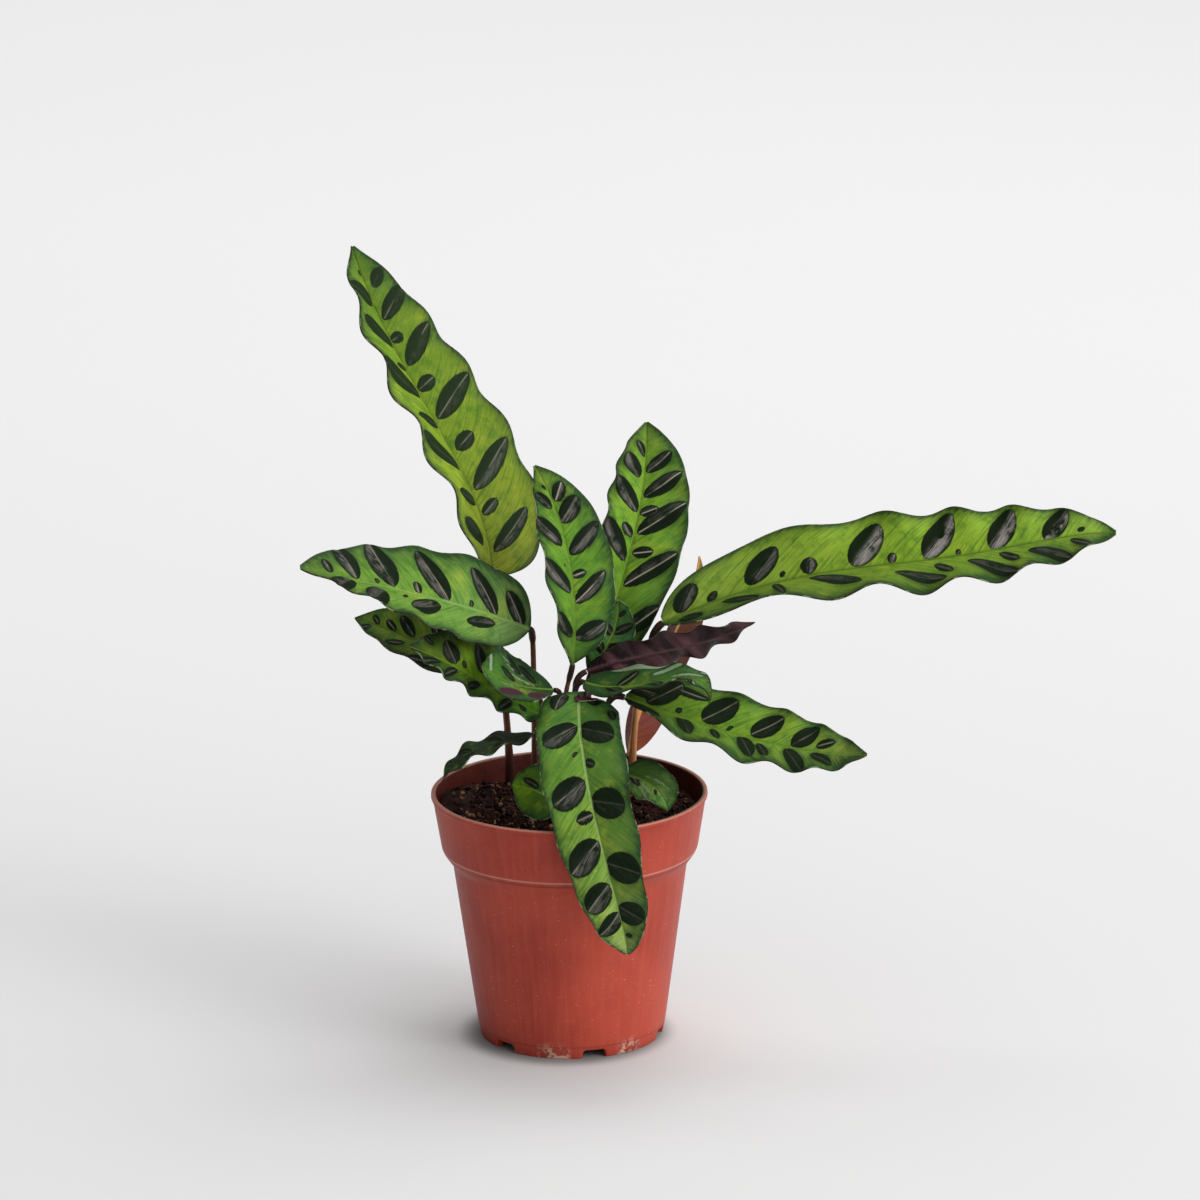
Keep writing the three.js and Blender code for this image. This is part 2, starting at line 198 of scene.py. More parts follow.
def join(x, y):
    return Wire(addNode(x.tree, "ShaderNodeCombineXYZ", {"X": x, "Y": y}).outputs[0])


def noise(place, scale, detail=3.0, rough=0.55, distortion=0.0):
    inputs = {"Vector": place, "Scale": scale, "Detail": detail, "Roughness": rough}
    node = addNode(place.tree, "ShaderNodeTexNoise", {**inputs, "Distortion": distortion})
    return Wire(node.outputs["Fac"])


def bump(height, distance):
    return Wire(addNode(height.tree, "ShaderNodeBump", {"Height": height, "Distance": distance}).outputs[0])


colourKind, numberKind = "NodeSocketColor", "NodeSocketFloat"


# A node group with named inputs, each with its plain value; fill(tree, inputs) returns its outputs by name.
def newGroup(name, inputs, outputs, fill):
    tree = bpy.data.node_groups.new(name, "ShaderNodeTree")
    for key, value in inputs.items():
        kind = colourKind if isinstance(value, tuple) else numberKind
        tree.interface.new_socket(name=key, in_out="INPUT", socket_type=kind).default_value = value
    for key, kind in outputs.items():
        tree.interface.new_socket(name=key, in_out="OUTPUT", socket_type=kind)
    start, end = addNode(tree, "NodeGroupInput"), addNode(tree, "NodeGroupOutput")
    wires = {key: Wire(start.outputs[key]) for key in inputs}
    for key, value in fill(tree, wires).items():
        feed(end.inputs[key], value)
    return tree


def useGroup(tree, group, **values):
    node = addNode(tree, "ShaderNodeGroup", values, node_tree=group)
    return {socket.name: Wire(socket) for socket in node.outputs}


# A material with one Principled shader; fill(tree) returns what its sockets get, by name.
def newMaterial(name, specular, fill):
    material = bpy.data.materials.new(name)
    material.use_nodes = True
    tree = material.node_tree
    tree.nodes.clear()
    shader = addNode(tree, "ShaderNodeBsdfPrincipled", {"Specular IOR Level": specular, **fill(tree)})
    addNode(tree, "ShaderNodeOutputMaterial", {"Surface": Wire(shader.outputs[0])})
    return material


studio = {
    "aim": (14.132, 0, 195.065),     # mm, the point in the middle of the picture
    "pitch": 15.82,                  # degrees the camera looks down
    "roll": -0.567,                  # degrees
    "distance": 2869,                # mm from the aim
    "lens": 200, "sensor": 36,       # mm
    "clip": (0.05, 80),              # metres
    "floorReach": 25,                # metres
    # floorNear to floorFar: painted light, the floor darker at the front and paler to the back
    "floorNear": (195, 195, 195), "floorFar": (222, 222, 222),
    "floorFade": (-0.7, 3.0),        # where one turns into the other, metres
    "floorCloud": (0.8, 0.1),        # noise scale and share
    "contactMiddle": (-2.5, -2.5), "contactReach": (38, 50),     # the dim ring at the pot's foot, mm
    "contactColour": (96, 94, 92), "contactShare": 0.75,
    "roomColour": (236, 236, 236),   # what the camera sees above the floor
    "dimSide": 0.02, "brightSide": 1.95,      # the room's light on the left and on the right
    "mirrorShare": 0.2,              # how much of it a glossy surface mirrors
    "lampAim": (0, 0, 0.2),          # metres, as the lamps' places
    "lamps": {"keyLight": ((2.3, -1.5, 1.4), 1.4, 42),      # place, size, watts
              "topLight": ((0.2, 1.0, 2.6), 1.6, 24)},
}


def makeCamera():
    pitch, roll = math.radians(studio["pitch"]), math.radians(studio["roll"])
    back = Vector((0, -math.cos(pitch), math.sin(pitch)))
    place = (Vector(studio["aim"]) + back * studio["distance"]) * mm
    data = bpy.data.cameras.new("camera")
    data.lens, data.sensor_width = studio["lens"], studio["sensor"]
    data.clip_start, data.clip_end = studio["clip"]
    camera = bpy.data.objects.new("camera", data)
    turn = Matrix.Rotation(math.pi / 2 - pitch, 4, "X") @ Matrix.Rotation(roll, 4, "Z")
    camera.matrix_world = Matrix.Translation(place) @ turn
    scene.collection.objects.link(camera)
    scene.camera = camera


# A plain floor painted paler to the back as painted light fall-off, with the pot's soft contact shadow
# painted round its foot.
def floorFinish(tree):
    spot = objectPlace(tree)
    x, y, _ = split(spot)
    scale, share = studio["floorCloud"]
    far = band(y, *studio["floorFade"]) + noise(spot, scale) * share
    pale = blend(far, rgba(studio["floorNear"]), rgba(studio["floorFar"]))
    middle, (full, end) = studio["contactMiddle"], studio["contactReach"]
    x, y = x - middle[0] * mm, y - middle[1] * mm
    near = band((x * x + y * y).math("SQRT"), end * mm, full * mm)
    pale = blend(near * studio["contactShare"], pale, rgba(studio["contactColour"]))
    return {"Base Color": pale, "Roughness": 0.9}


def makeFloor():
    reach = studio["floorReach"] / mm
    corners = [(-reach, -reach, 0), (reach, -reach, 0), (reach, reach, 0), (-reach, reach, 0)]
    floor = makePiece("floor", corners, [(0, 1, 2, 3)], [newMaterial("paleFloor", 0.5, floorFinish)])


# Light that rises evenly from the left to the right, dimmer in mirrors and plain to the camera.
def makeRoom():
    world = bpy.data.worlds.new("room")
    world.use_nodes = True
    tree = world.node_tree
    x = split(Wire(addNode(tree, "ShaderNodeTexCoord").outputs["Generated"]))[0]
    sides = {"From Min": -1, "From Max": 1, "To Min": studio["dimSide"], "To Max": studio["brightSide"]}
    light = Wire(addNode(tree, "ShaderNodeMapRange", {"Value": x, **sides}).outputs[0])
    path = addNode(tree, "ShaderNodeLightPath").outputs
    glow = blend(Wire(path["Is Glossy Ray"]), light, light * studio["mirrorShare"])
    glow = blend(Wire(path["Is Camera Ray"]), glow, rgba(studio["roomColour"]))
    feed(tree.nodes["Background"].inputs["Color"], glow)
    scene.world = world
    scene.view_settings.view_transform = "Standard"


def makeLamps():
    for name, (place, size, power) in studio["lamps"].items():
        data = bpy.data.lights.new(name, "AREA")
        data.shape, data.size, data.energy = "DISK", size, power
        lamp = bpy.data.objects.new(name, data)
        lamp.location = place
        lamp.rotation_euler = (Vector(studio["lampAim"]) - lamp.location).to_track_quat("-Z", "Y").to_euler()
        scene.collection.objects.link(lamp)


makeCamera()
makeFloor()
makeRoom()
makeLamps()
print("studio ready")


pot = {
    "rimRadius": 60, "height": 109.5, "wall": 1.2, "lipProud": 0.7, "lipHeight": 2.4,     # mm
    "collarDrop": 25, "collarFootRadius": 55.6, "stepDrop": 31.5, "bodyTopRadius": 51, "bodyFootRadius": 41,
    "footRingRadius": 39.8, "footRingHeight": 5.5, "footRingWidth": 2.6,
    "floorRise": 3.4, "floorThickness": 1.6, "padRadius": 8, "padSlope": 2, "innerRise": 1,
    "notchCount": 6, "notchWidth": 10, "notchHeight": 4, "notchSoft": 0.3, "firstNotch": 14,
    "drainCount": 8, "drainRadius": 4.5, "drainCircle": 24, "drainSides": 32, "drillEnds": (-3, 12),
    "columns": 360, "longestStep": 2.6, "arcSteps": 4, "sharpAngle": 40,
}
collarFoot = pot["height"] - pot["collarDrop"]
stepFoot = pot["height"] - pot["stepDrop"]


# A profile with its corners rounded: each corner becomes a quadratic arc that starts and ends a radius away
# from it, and each straight is split into equal steps.
def roundProfile(corners, longest):
    corners = np.asarray(corners, float)
    spots, radii = corners[:, :2], corners[:, 2]
    path = [spots[:1]]
    for i in range(1, len(spots)):
        before = path[-1][-1]
        if i < len(spots) - 1 and radii[i] > 0:
            toBack, toNext = spots[i - 1] - spots[i], spots[i + 1] - spots[i]
            reach = min(radii[i], 0.45 * np.linalg.norm(toBack), 0.45 * np.linalg.norm(toNext))
            entry, leave = spots[i] + unit(toBack) * reach, spots[i] + unit(toNext) * reach
            t = np.linspace(0, 1, pot["arcSteps"] + 1)[1:, None]
            arc = entry * (1 - t) ** 2 + 2 * spots[i] * t * (1 - t) + leave * t ** 2
        else:
            entry, arc = spots[i], np.zeros((0, 2))
        steps = max(1, math.ceil(np.linalg.norm(entry - before) / longest))
        t = np.linspace(0, 1, steps + 1)[1:, None]
        path.append(before + (entry - before) * t)
        if len(arc):
            path.append(arc)
    return np.concatenate(path)


# A profile of (radius, height) turned round the Z axis: x = r sin a, y = -r cos a. Its first and last points
# lie on the axis and become single poles.
def revolve(profile, columns):
    angle = np.arange(columns) * 2 * math.pi / columns
    inner = profile[1:-1]
    x, y = inner[:, :1] * np.sin(angle), -inner[:, :1] * np.cos(angle)
    ring = np.stack([x, y, np.repeat(inner[:, 1:], columns, 1)], -1).reshape(-1, 3)
    poles = np.array([[0, 0, profile[0, 1]], [0, 0, profile[-1, 1]]])
    here, after = np.arange(columns), (np.arange(columns) + 1) % columns
    top, count = (len(inner) - 1) * columns, len(inner) * columns
    lowFan = np.stack([np.full(columns, count), after, here], -1)
    highFan = np.stack([np.full(columns, count + 1), top + here, top + after], -1)
    faces = lowFan.tolist() + tubeQuads(len(inner), columns).tolist() + highFan.tolist()
    return np.concatenate([ring, poles]), faces


# The pot's shell from the middle of its underside, up outside, over the lip and down inside: radius, height
# and corner radius.
def potProfile():
    wall, rim, top, body = pot["wall"], pot["rimRadius"], pot["height"], pot["bodyFootRadius"]
    lip, lipFoot, collar = rim - pot["lipProud"], top - pot["lipHeight"], pot["collarFootRadius"]
    ring, pad, rise = pot["footRingRadius"], pot["padRadius"], pot["floorRise"]
    ringInside, step = ring - pot["footRingWidth"], pot["bodyTopRadius"]
    floorTop, inner = rise + pot["floorThickness"], pot["innerRise"]
    return [
        (0, 0, 0), (pad, 0, 0.3), (pad + pot["padSlope"], rise, 0.5), (ringInside, rise, 0.3),
        (ringInside, 0, 0.3), (ring, 0, 0.4), (body, pot["footRingHeight"], 0.5), (step, stepFoot, 0.8),
        (collar, collarFoot, 1.6), (lip, lipFoot, 0.4), (rim, top - pot["lipHeight"] * 0.8, 0.5),
        (rim, top, 0.7), (lip - wall, top, 0.5), (collar - wall, collarFoot + inner, 1.5),
        (step - wall, stepFoot - inner, 1.0), (body - wall, floorTop, 1.5), (0, floorTop, 0),
    ]


# One cylinder for each drain hole, evenly round a circle.
def makeDrills():
    sides = pot["drainSides"]
    a = np.arange(sides) * 2 * math.pi / sides
    low, high = pot["drillEnds"]
    caps = [tuple(range(sides - 1, -1, -1)), tuple(range(sides, 2 * sides))]
    faces = tubeQuads(2, sides).tolist() + caps
    drills = []
    for i in range(pot["drainCount"]):
        turn = 2 * math.pi * (i + 0.5) / pot["drainCount"]
        x = pot["drainCircle"] * math.cos(turn) + pot["drainRadius"] * np.cos(a)
        y = pot["drainCircle"] * math.sin(turn) + pot["drainRadius"] * np.sin(a)
        ends = [np.stack([x, y, np.full(sides, z)], -1) for z in (low, high)]
        drills.append(makePiece(f"drill{i}", np.concatenate(ends), faces, []))
    return drills


# The turned shell. Within each notch's width the foot ring's underside is raised to the notch's height, and
# the drain holes are cut.
def makePot(material):
    points, faces = revolve(roundProfile(potProfile(), pot["longestStep"]), pot["columns"])
    radius = np.hypot(points[:, 0], points[:, 1])
    angle = np.degrees(np.arctan2(points[:, 0], -points[:, 1]))
    pitch = 360 / pot["notchCount"]
    away = np.abs((angle - pot["firstNotch"] + pitch / 2) % pitch - pitch / 2) * math.pi / 180
    away = away * pot["footRingRadius"]
    half, soft = pot["notchWidth"] / 2, pot["notchSoft"]
    inside = 1 - softStep(half - soft, half + soft, away)
    height = points[:, 2]
    onRing = (radius > pot["footRingRadius"] - pot["footRingWidth"] - 0.2) & (height < pot["notchHeight"])
    points[:, 2] = np.where(onRing, np.maximum(height, pot["notchHeight"] * inside), height)
    piece = makePiece("nurseryPot", points, faces, [material], sharp=pot["sharpAngle"])
    drills = makeDrills()
    for drill in drills:
        cut = piece.modifiers.new("drain", "BOOLEAN")
        cut.operation, cut.solver, cut.object = "DIFFERENCE", "EXACT", drill
    whole = bpy.data.meshes.new_from_object(piece.evaluated_get(bpy.context.evaluated_depsgraph_get()))
    piece.modifiers.clear()
    piece.data = whole
    for drill in drills:
        bpy.data.objects.remove(drill)
    seat(piece, "pot")


# Noises: scale per metre, detail, roughness. Shares: how far each mark covers the plastic.
plastic = {
    # chalk also colours the painted highlight lines round the pot, and line the dark lines, one of them
    # painted crease shade
    "colour": (166, 66, 50), "faded": (174, 78, 62), "deep": (148, 54, 41), "chalk": (206, 172, 150),
    # earth also paints shade on the inner wall
    "line": (96, 36, 28), "earth": (52, 22, 17),
    "cloud": (26, 4), "worn": (55, 2), "speck": (1300, 1), "clod": (130, 4, 0.7), "crust": (260, 5, 0.7),
    "grain": (1500, 2),
    "flow": (7, 9, 2.4),                                 # streaks: round the pot, up it, scale
    "level": (3, 420, 4, 2), "upright": (46, 26, 3, 2),  # scratches: the same and detail
    "flowShare": 0.4, "scratchShare": 0.3, "speckShare": 0.42, "crustShare": 0.75,
    # the inner wall's earth colour: partly clinging earth, partly painted shade, more of it to the right
    # where that wall lies in shade
    "earthAndShadeShare": (0.72, 0.2), "earthAndShadeToRight": 3.0,      # everywhere and in clods; more of them to the right
    "crustHeight": 0.009,
    "crustPatches": [(-0.2, 0.16), (0.66, 0.14), (2.6, 0.3), (-1.9, 0.2)],      # middle, half width
    "specular": 0.18, "bump": 0.0003,
}

# Fine lines round the pot: height, half width and softness in mm, share and colour.
# The pale lines at the lip and just above the collar's foot are painted highlights; the dark line just below
# the collar's foot is painted crease shade.
ringLines = [
    (collarFoot - 1.6, 0.25, 0.5, 0.55, "line"), (collarFoot + 0.4, 0.2, 0.4, 0.35, "chalk"),
    (pot["footRingHeight"], 0.15, 0.3, 0.4, "line"), (pot["height"], 0.3, 0.5, 0.3, "chalk"),
]


# The inner wall above the soil: inside a cone a little within the collar's outside. It is painted in the
# earth colour, partly as earth that clings to it in clods and partly as painted shade inside the pot,
# strongest to the right, where the wall faces away from the light.
def earthAndShadeMask(spot, x, z, radius):
    top, foot = pot["rimRadius"] - pot["lipProud"], pot["collarFootRadius"]
    slope = (top - foot) / (pot["collarDrop"] - pot["lipHeight"])
    outside = z * slope + (foot - slope * collarFoot) * mm
    inner = band(outside - radius, 0.0004, 0.0008) * band(z, (collarFoot + 1) * mm, (collarFoot + 3) * mm)
    everywhere, inClods = plastic["earthAndShadeShare"]
    clods = band(noise(spot, *plastic["clod"]) + x * plastic["earthAndShadeToRight"], 0.4, 0.62)
    return inner * (clods * inClods + everywhere)


# Lime left by water: crumbly patches that fade with the height above the foot.
def crustMask(spot, turn, z, top):
    patches = 0.0
    for middle, half in plastic["crustPatches"]:
        apart = (turn - middle).math("ABSOLUTE")
        patches = band(apart, half * 1.3, half * 0.7).math("MAXIMUM", patches)
    return band(z, top, 0.0) * band(noise(spot, *plastic["crust"]), 0.46, 0.54) * patches


# Moulded plastic that has been handled: soft clouds, faint flow streaks, short scratches, specks, earth and
# painted shade on the inner wall, and a lime crust in patches at the foot.
def fillPlastic(tree, inputs):
    spot = objectPlace(tree)
    x, y, z = split(spot)
    turn, radius = x.math("ARCTAN2", y * -1.0), (x * x + y * y).math("SQRT")
    around = lambda across, up, *settings: noise(join(turn * across, z * up), *settings)
    cloud, worn = noise(spot, *plastic["cloud"]), noise(spot, *plastic["worn"])
    flow = around(*plastic["flow"])
    level = band(around(*plastic["level"]), 0.66, 0.72) * band(worn, 0.52, 0.62)
    upright = band(around(*plastic["upright"]), 0.72, 0.78) * band(worn, 0.5, 0.4)
    speck = band(noise(spot, *plastic["speck"]), 0.74, 0.78)
    crust = crustMask(spot, turn, z, inputs["CrustHeight"])

    colour = blend(band(cloud, 0.36, 0.66), inputs["Deep"], inputs["Colour"])
    colour = blend(band(flow, 0.4, 0.75) * plastic["flowShare"], colour, inputs["Faded"])
    colour = blend(level.math("MAXIMUM", upright) * plastic["scratchShare"], colour, inputs["Chalk"])
    colour = blend(speck * plastic["speckShare"], colour, inputs["Chalk"])
    # the inner wall: earth colour as clinging earth and as painted shade
    colour = blend(earthAndShadeMask(spot, x, z, radius), colour, inputs["Earth"])
    colour = blend(crust * plastic["crustShare"], colour, inputs["Chalk"])
    rough = (cloud * 0.25 + 0.34).math("MAXIMUM", crust * 0.9)
    height = crust * 1.5 + (flow * 0.3 + noise(spot, *plastic["grain"]) * 0.2)
    return {"Colour": colour, "Roughness": rough, "Height": height}


plasticGroup = newGroup(
    "wornPlastic",
    {**{key: rgba(plastic[key.lower()]) for key in ("Colour", "Faded", "Deep", "Chalk", "Earth")},
     "CrustHeight": plastic["crustHeight"]},
    {"Colour": colourKind, "Roughness": numberKind, "Height": numberKind}, fillPlastic)


def potFinish(tree):
    worn = useGroup(tree, plasticGroup)
    height = split(objectPlace(tree))[2]
    colour = worn["Colour"]
    # The ring lines paint highlights at the lip and the collar, and crease shade under the collar.
    for at, half, soft, share, tint in ringLines:
        away = (height - at * mm).math("ABSOLUTE")
        colour = blend(band(away, (half + soft) * mm, half * mm) * share, colour, rgba(plastic[tint]))
    normal = bump(worn["Height"], plastic["bump"])
    return {"Base Color": colour, "Roughness": worn["Roughness"], "Normal": normal}


makePot(newMaterial("terracottaPlastic", plastic["specular"], potFinish))
print("pot made")


soil = {
    "drop": 8, "mound": -3, "tilt": (-0.03, 0), "lump": 0.6, "hollow": 9,      # mm, and mm per mm
    "edgeDrop": 16, "clear": 0.35, "plugDepth": 40, "chamfer": 6, "rings": 90, "columns": 260,
    "roughness": [(6, 0.9), (2.6, 0.6), (1.2, 0.45)],   # cell and height of each octave, mm
    "crumbs": 1900, "smallest": 0.35, "largest": 1.5, "chips": 0.12, "chipStretch": 3.2, "seed": 11,
    "dark": (20, 9, 7), "brown": (66, 35, 25), "tan": (142, 104, 78),
    "mottle": (420, 4, 0.7), "grain": (1300, 4, 0.7), "specular": 0.12, "bump": 0.0006,
}


# The soil's top before its crumbs: a shallow dish, a tilt, slow lumps, and a hollow that deepens to the
# back.
def soilHeight(x, y):
    mound = soil["mound"] * (1 - (x * x + y * y) / pot["rimRadius"] ** 2)
    lumps = soil["lump"] * np.sin(x / 7) * np.cos(y / 6 + 1)
    hollow = soil["hollow"] * (np.maximum(y, 0) / pot["rimRadius"]) ** 2
    level = pot["height"] - soil["drop"] - soil["mound"] + mound
    return level + soil["tilt"][0] * x + soil["tilt"][1] * y + lumps - hollow


# The inside radius of the collar at height z: straight from the collar's foot to the lip.
def collarInside(z):
    low, high = pot["collarFootRadius"] - pot["wall"], pot["rimRadius"] - pot["lipProud"] - pot["wall"]
    bottom = collarFoot + pot["innerRise"]
    return low + (high - low) * (z - bottom) / (pot["height"] - bottom)


# A turned plug whose top is the soil's height and three octaves of noise.
def soilPlug(edgeZ, edge):
    radius = edge * np.sqrt(np.linspace(0, 1, soil["rings"]))[::-1]
    foot, bottom = edgeZ - soil["plugDepth"], pot["bodyTopRadius"] - pot["wall"] - 1
    side = np.array([(0, foot), (bottom - soil["chamfer"], foot), (bottom, stepFoot - 2),
                     (pot["collarFootRadius"] - pot["wall"] - 0.6, collarFoot + 1)])
    profile = np.concatenate([side, np.stack([radius, radius * 0 + edgeZ], -1)])
    points, faces = revolve(profile, soil["columns"])
    x, y, z = points.T
    octaves = enumerate(soil["roughness"])
    rough = sum(high * latticeNoise(x, y, cell, i + 3) for i, (cell, high) in octaves)
    points[:, 2] = np.where(z > edgeZ - 0.01, soilHeight(x, y) + rough - 0.6, z)
    return points, faces


golden = (1 + 5 ** 0.5) / 2
ball = unit(np.array([(-1, golden, 0), (1, golden, 0), (-1, -golden, 0), (1, -golden, 0),
                      (0, -1, golden), (0, 1, golden), (0, -1, -golden), (0, 1, -golden),
                      (golden, 0, -1), (golden, 0, 1), (-golden, 0, -1), (-golden, 0, 1)]))
ballFaces = np.array([(0, 11, 5), (0, 5, 1), (0, 1, 7), (0, 7, 10), (0, 10, 11), (1, 5, 9), (5, 11, 4),
                      (11, 10, 2), (10, 7, 6), (7, 1, 8), (3, 9, 4), (3, 4, 2), (3, 2, 6), (3, 6, 8),
                      (3, 8, 9), (4, 9, 5), (2, 4, 11), (6, 2, 10), (8, 6, 7), (9, 8, 1)])


# The plug and its crumbs: each is a jittered 20-sided ball, stretched, turned and sunk in the top.
def makeSoil(material):
    edgeZ = pot["height"] - soil["edgeDrop"]
    edge = collarInside(edgeZ) - soil["clear"]
    points, faces = soilPlug(edgeZ, edge)
    draw = np.random.default_rng(soil["seed"])
    count, corners = soil["crumbs"], len(ball)
    far = (edge - 1.6) * np.sqrt(draw.uniform(0, 1, count))
    turn = draw.uniform(0, 2 * math.pi, count)
    x, y = far * np.cos(turn), far * np.sin(turn)
    size = soil["smallest"] + (soil["largest"] - soil["smallest"]) * draw.uniform(0, 1, count) ** 2.5
    stretch = np.where(draw.uniform(0, 1, count) < soil["chips"], soil["chipStretch"], 1.2)
    axes = np.linalg.qr(draw.normal(size=(count, 3, 3)))[0]
    axes[:, :, 0] *= np.linalg.det(axes)[:, None]
    local = ball[None] * (size[:, None, None] * draw.uniform(0.7, 1.15, (count, corners, 1)))
    local[:, :, 0] *= stretch[:, None]
    local /= stretch[:, None, None] ** 0.4
    middle = np.stack([x, y, soilHeight(x, y) + 0.15 * size], -1)
    crumbs = np.einsum("nij,nkj->nki", axes, local) + middle[:, None]
    starts = len(points) + corners * np.arange(count)[:, None, None]
    crumbFaces = (ballFaces[None] + starts).reshape(-1, 3).tolist()
    tone = np.concatenate([0.25 + 0.2 * latticeNoise(points[:, 0], points[:, 1], 5, 9),
                           np.repeat(draw.uniform(0, 1, count) ** 1.5, corners)])
    piece = makePiece("pottingSoil", np.concatenate([points, crumbs.reshape(-1, 3)]), faces + crumbFaces,
                      [material], numbers={"tone": tone})
    seat(piece, "soil")


# Damp peat: dark to brown by the crumb's own tone and fine noise, with tan grains.
def soilFinish(tree):
    spot = objectPlace(tree)
    mottle = noise(spot, *soil["mottle"])
    shade = mottle * 0.8 + (attribute(tree, "tone") - 0.4)
    earth = blend(band(shade, 0.0, 0.55), rgba(soil["dark"]), rgba(soil["brown"]))
    earth = blend(band(shade, 0.62, 0.95), earth, rgba(soil["tan"]))
    return {"Base Color": earth, "Roughness": mottle * 0.3 + 0.65,
            "Normal": bump(noise(spot, *soil["grain"]), soil["bump"])}


makeSoil(newMaterial("dampPeat", soil["specular"], soilFinish))
print("soil made")


blade = {
    "start": 0.004, "end": 0.99, "cell": 0.95, "thickness": 0.5,      # shares of the rib's length; mm
    "columnShare": 0.92, "columnPower": 1.12, "sharpAngle": 55,
    "tipTaper": 0.06, "tipPower": 0.7, "footTaper": 0.03, "footPower": 0.5,
    "lobeRatio": 0.87, "lobeRise": 1.8, "camber": 0.1,
    "ribHalf": 0.9, "ribThinning": 0.65, "ribGroove": 0.35, "ribRidge": 0.8, "ridgeThinning": 0.7,
    "pleat": 0.6, "creaseHalf": 1.1, "creaseDepth": 0.9, "fullPleat": 4,      # mm
    # dull and the three after it: the share of painted sheen on blotches before it turns full, and where its
    # strip starts, fades and how much it loses
    "roundness": 0.55, "dull": 0.25, "sheenEdge": (-0.25, 0.2), "sheenFade": (0.3, 0.9), "sheenLoss": 0.75,
    "veinBend": 0.006, "uvSize": 100,                # per mm, towards the tip; mm for 1 of the map
}
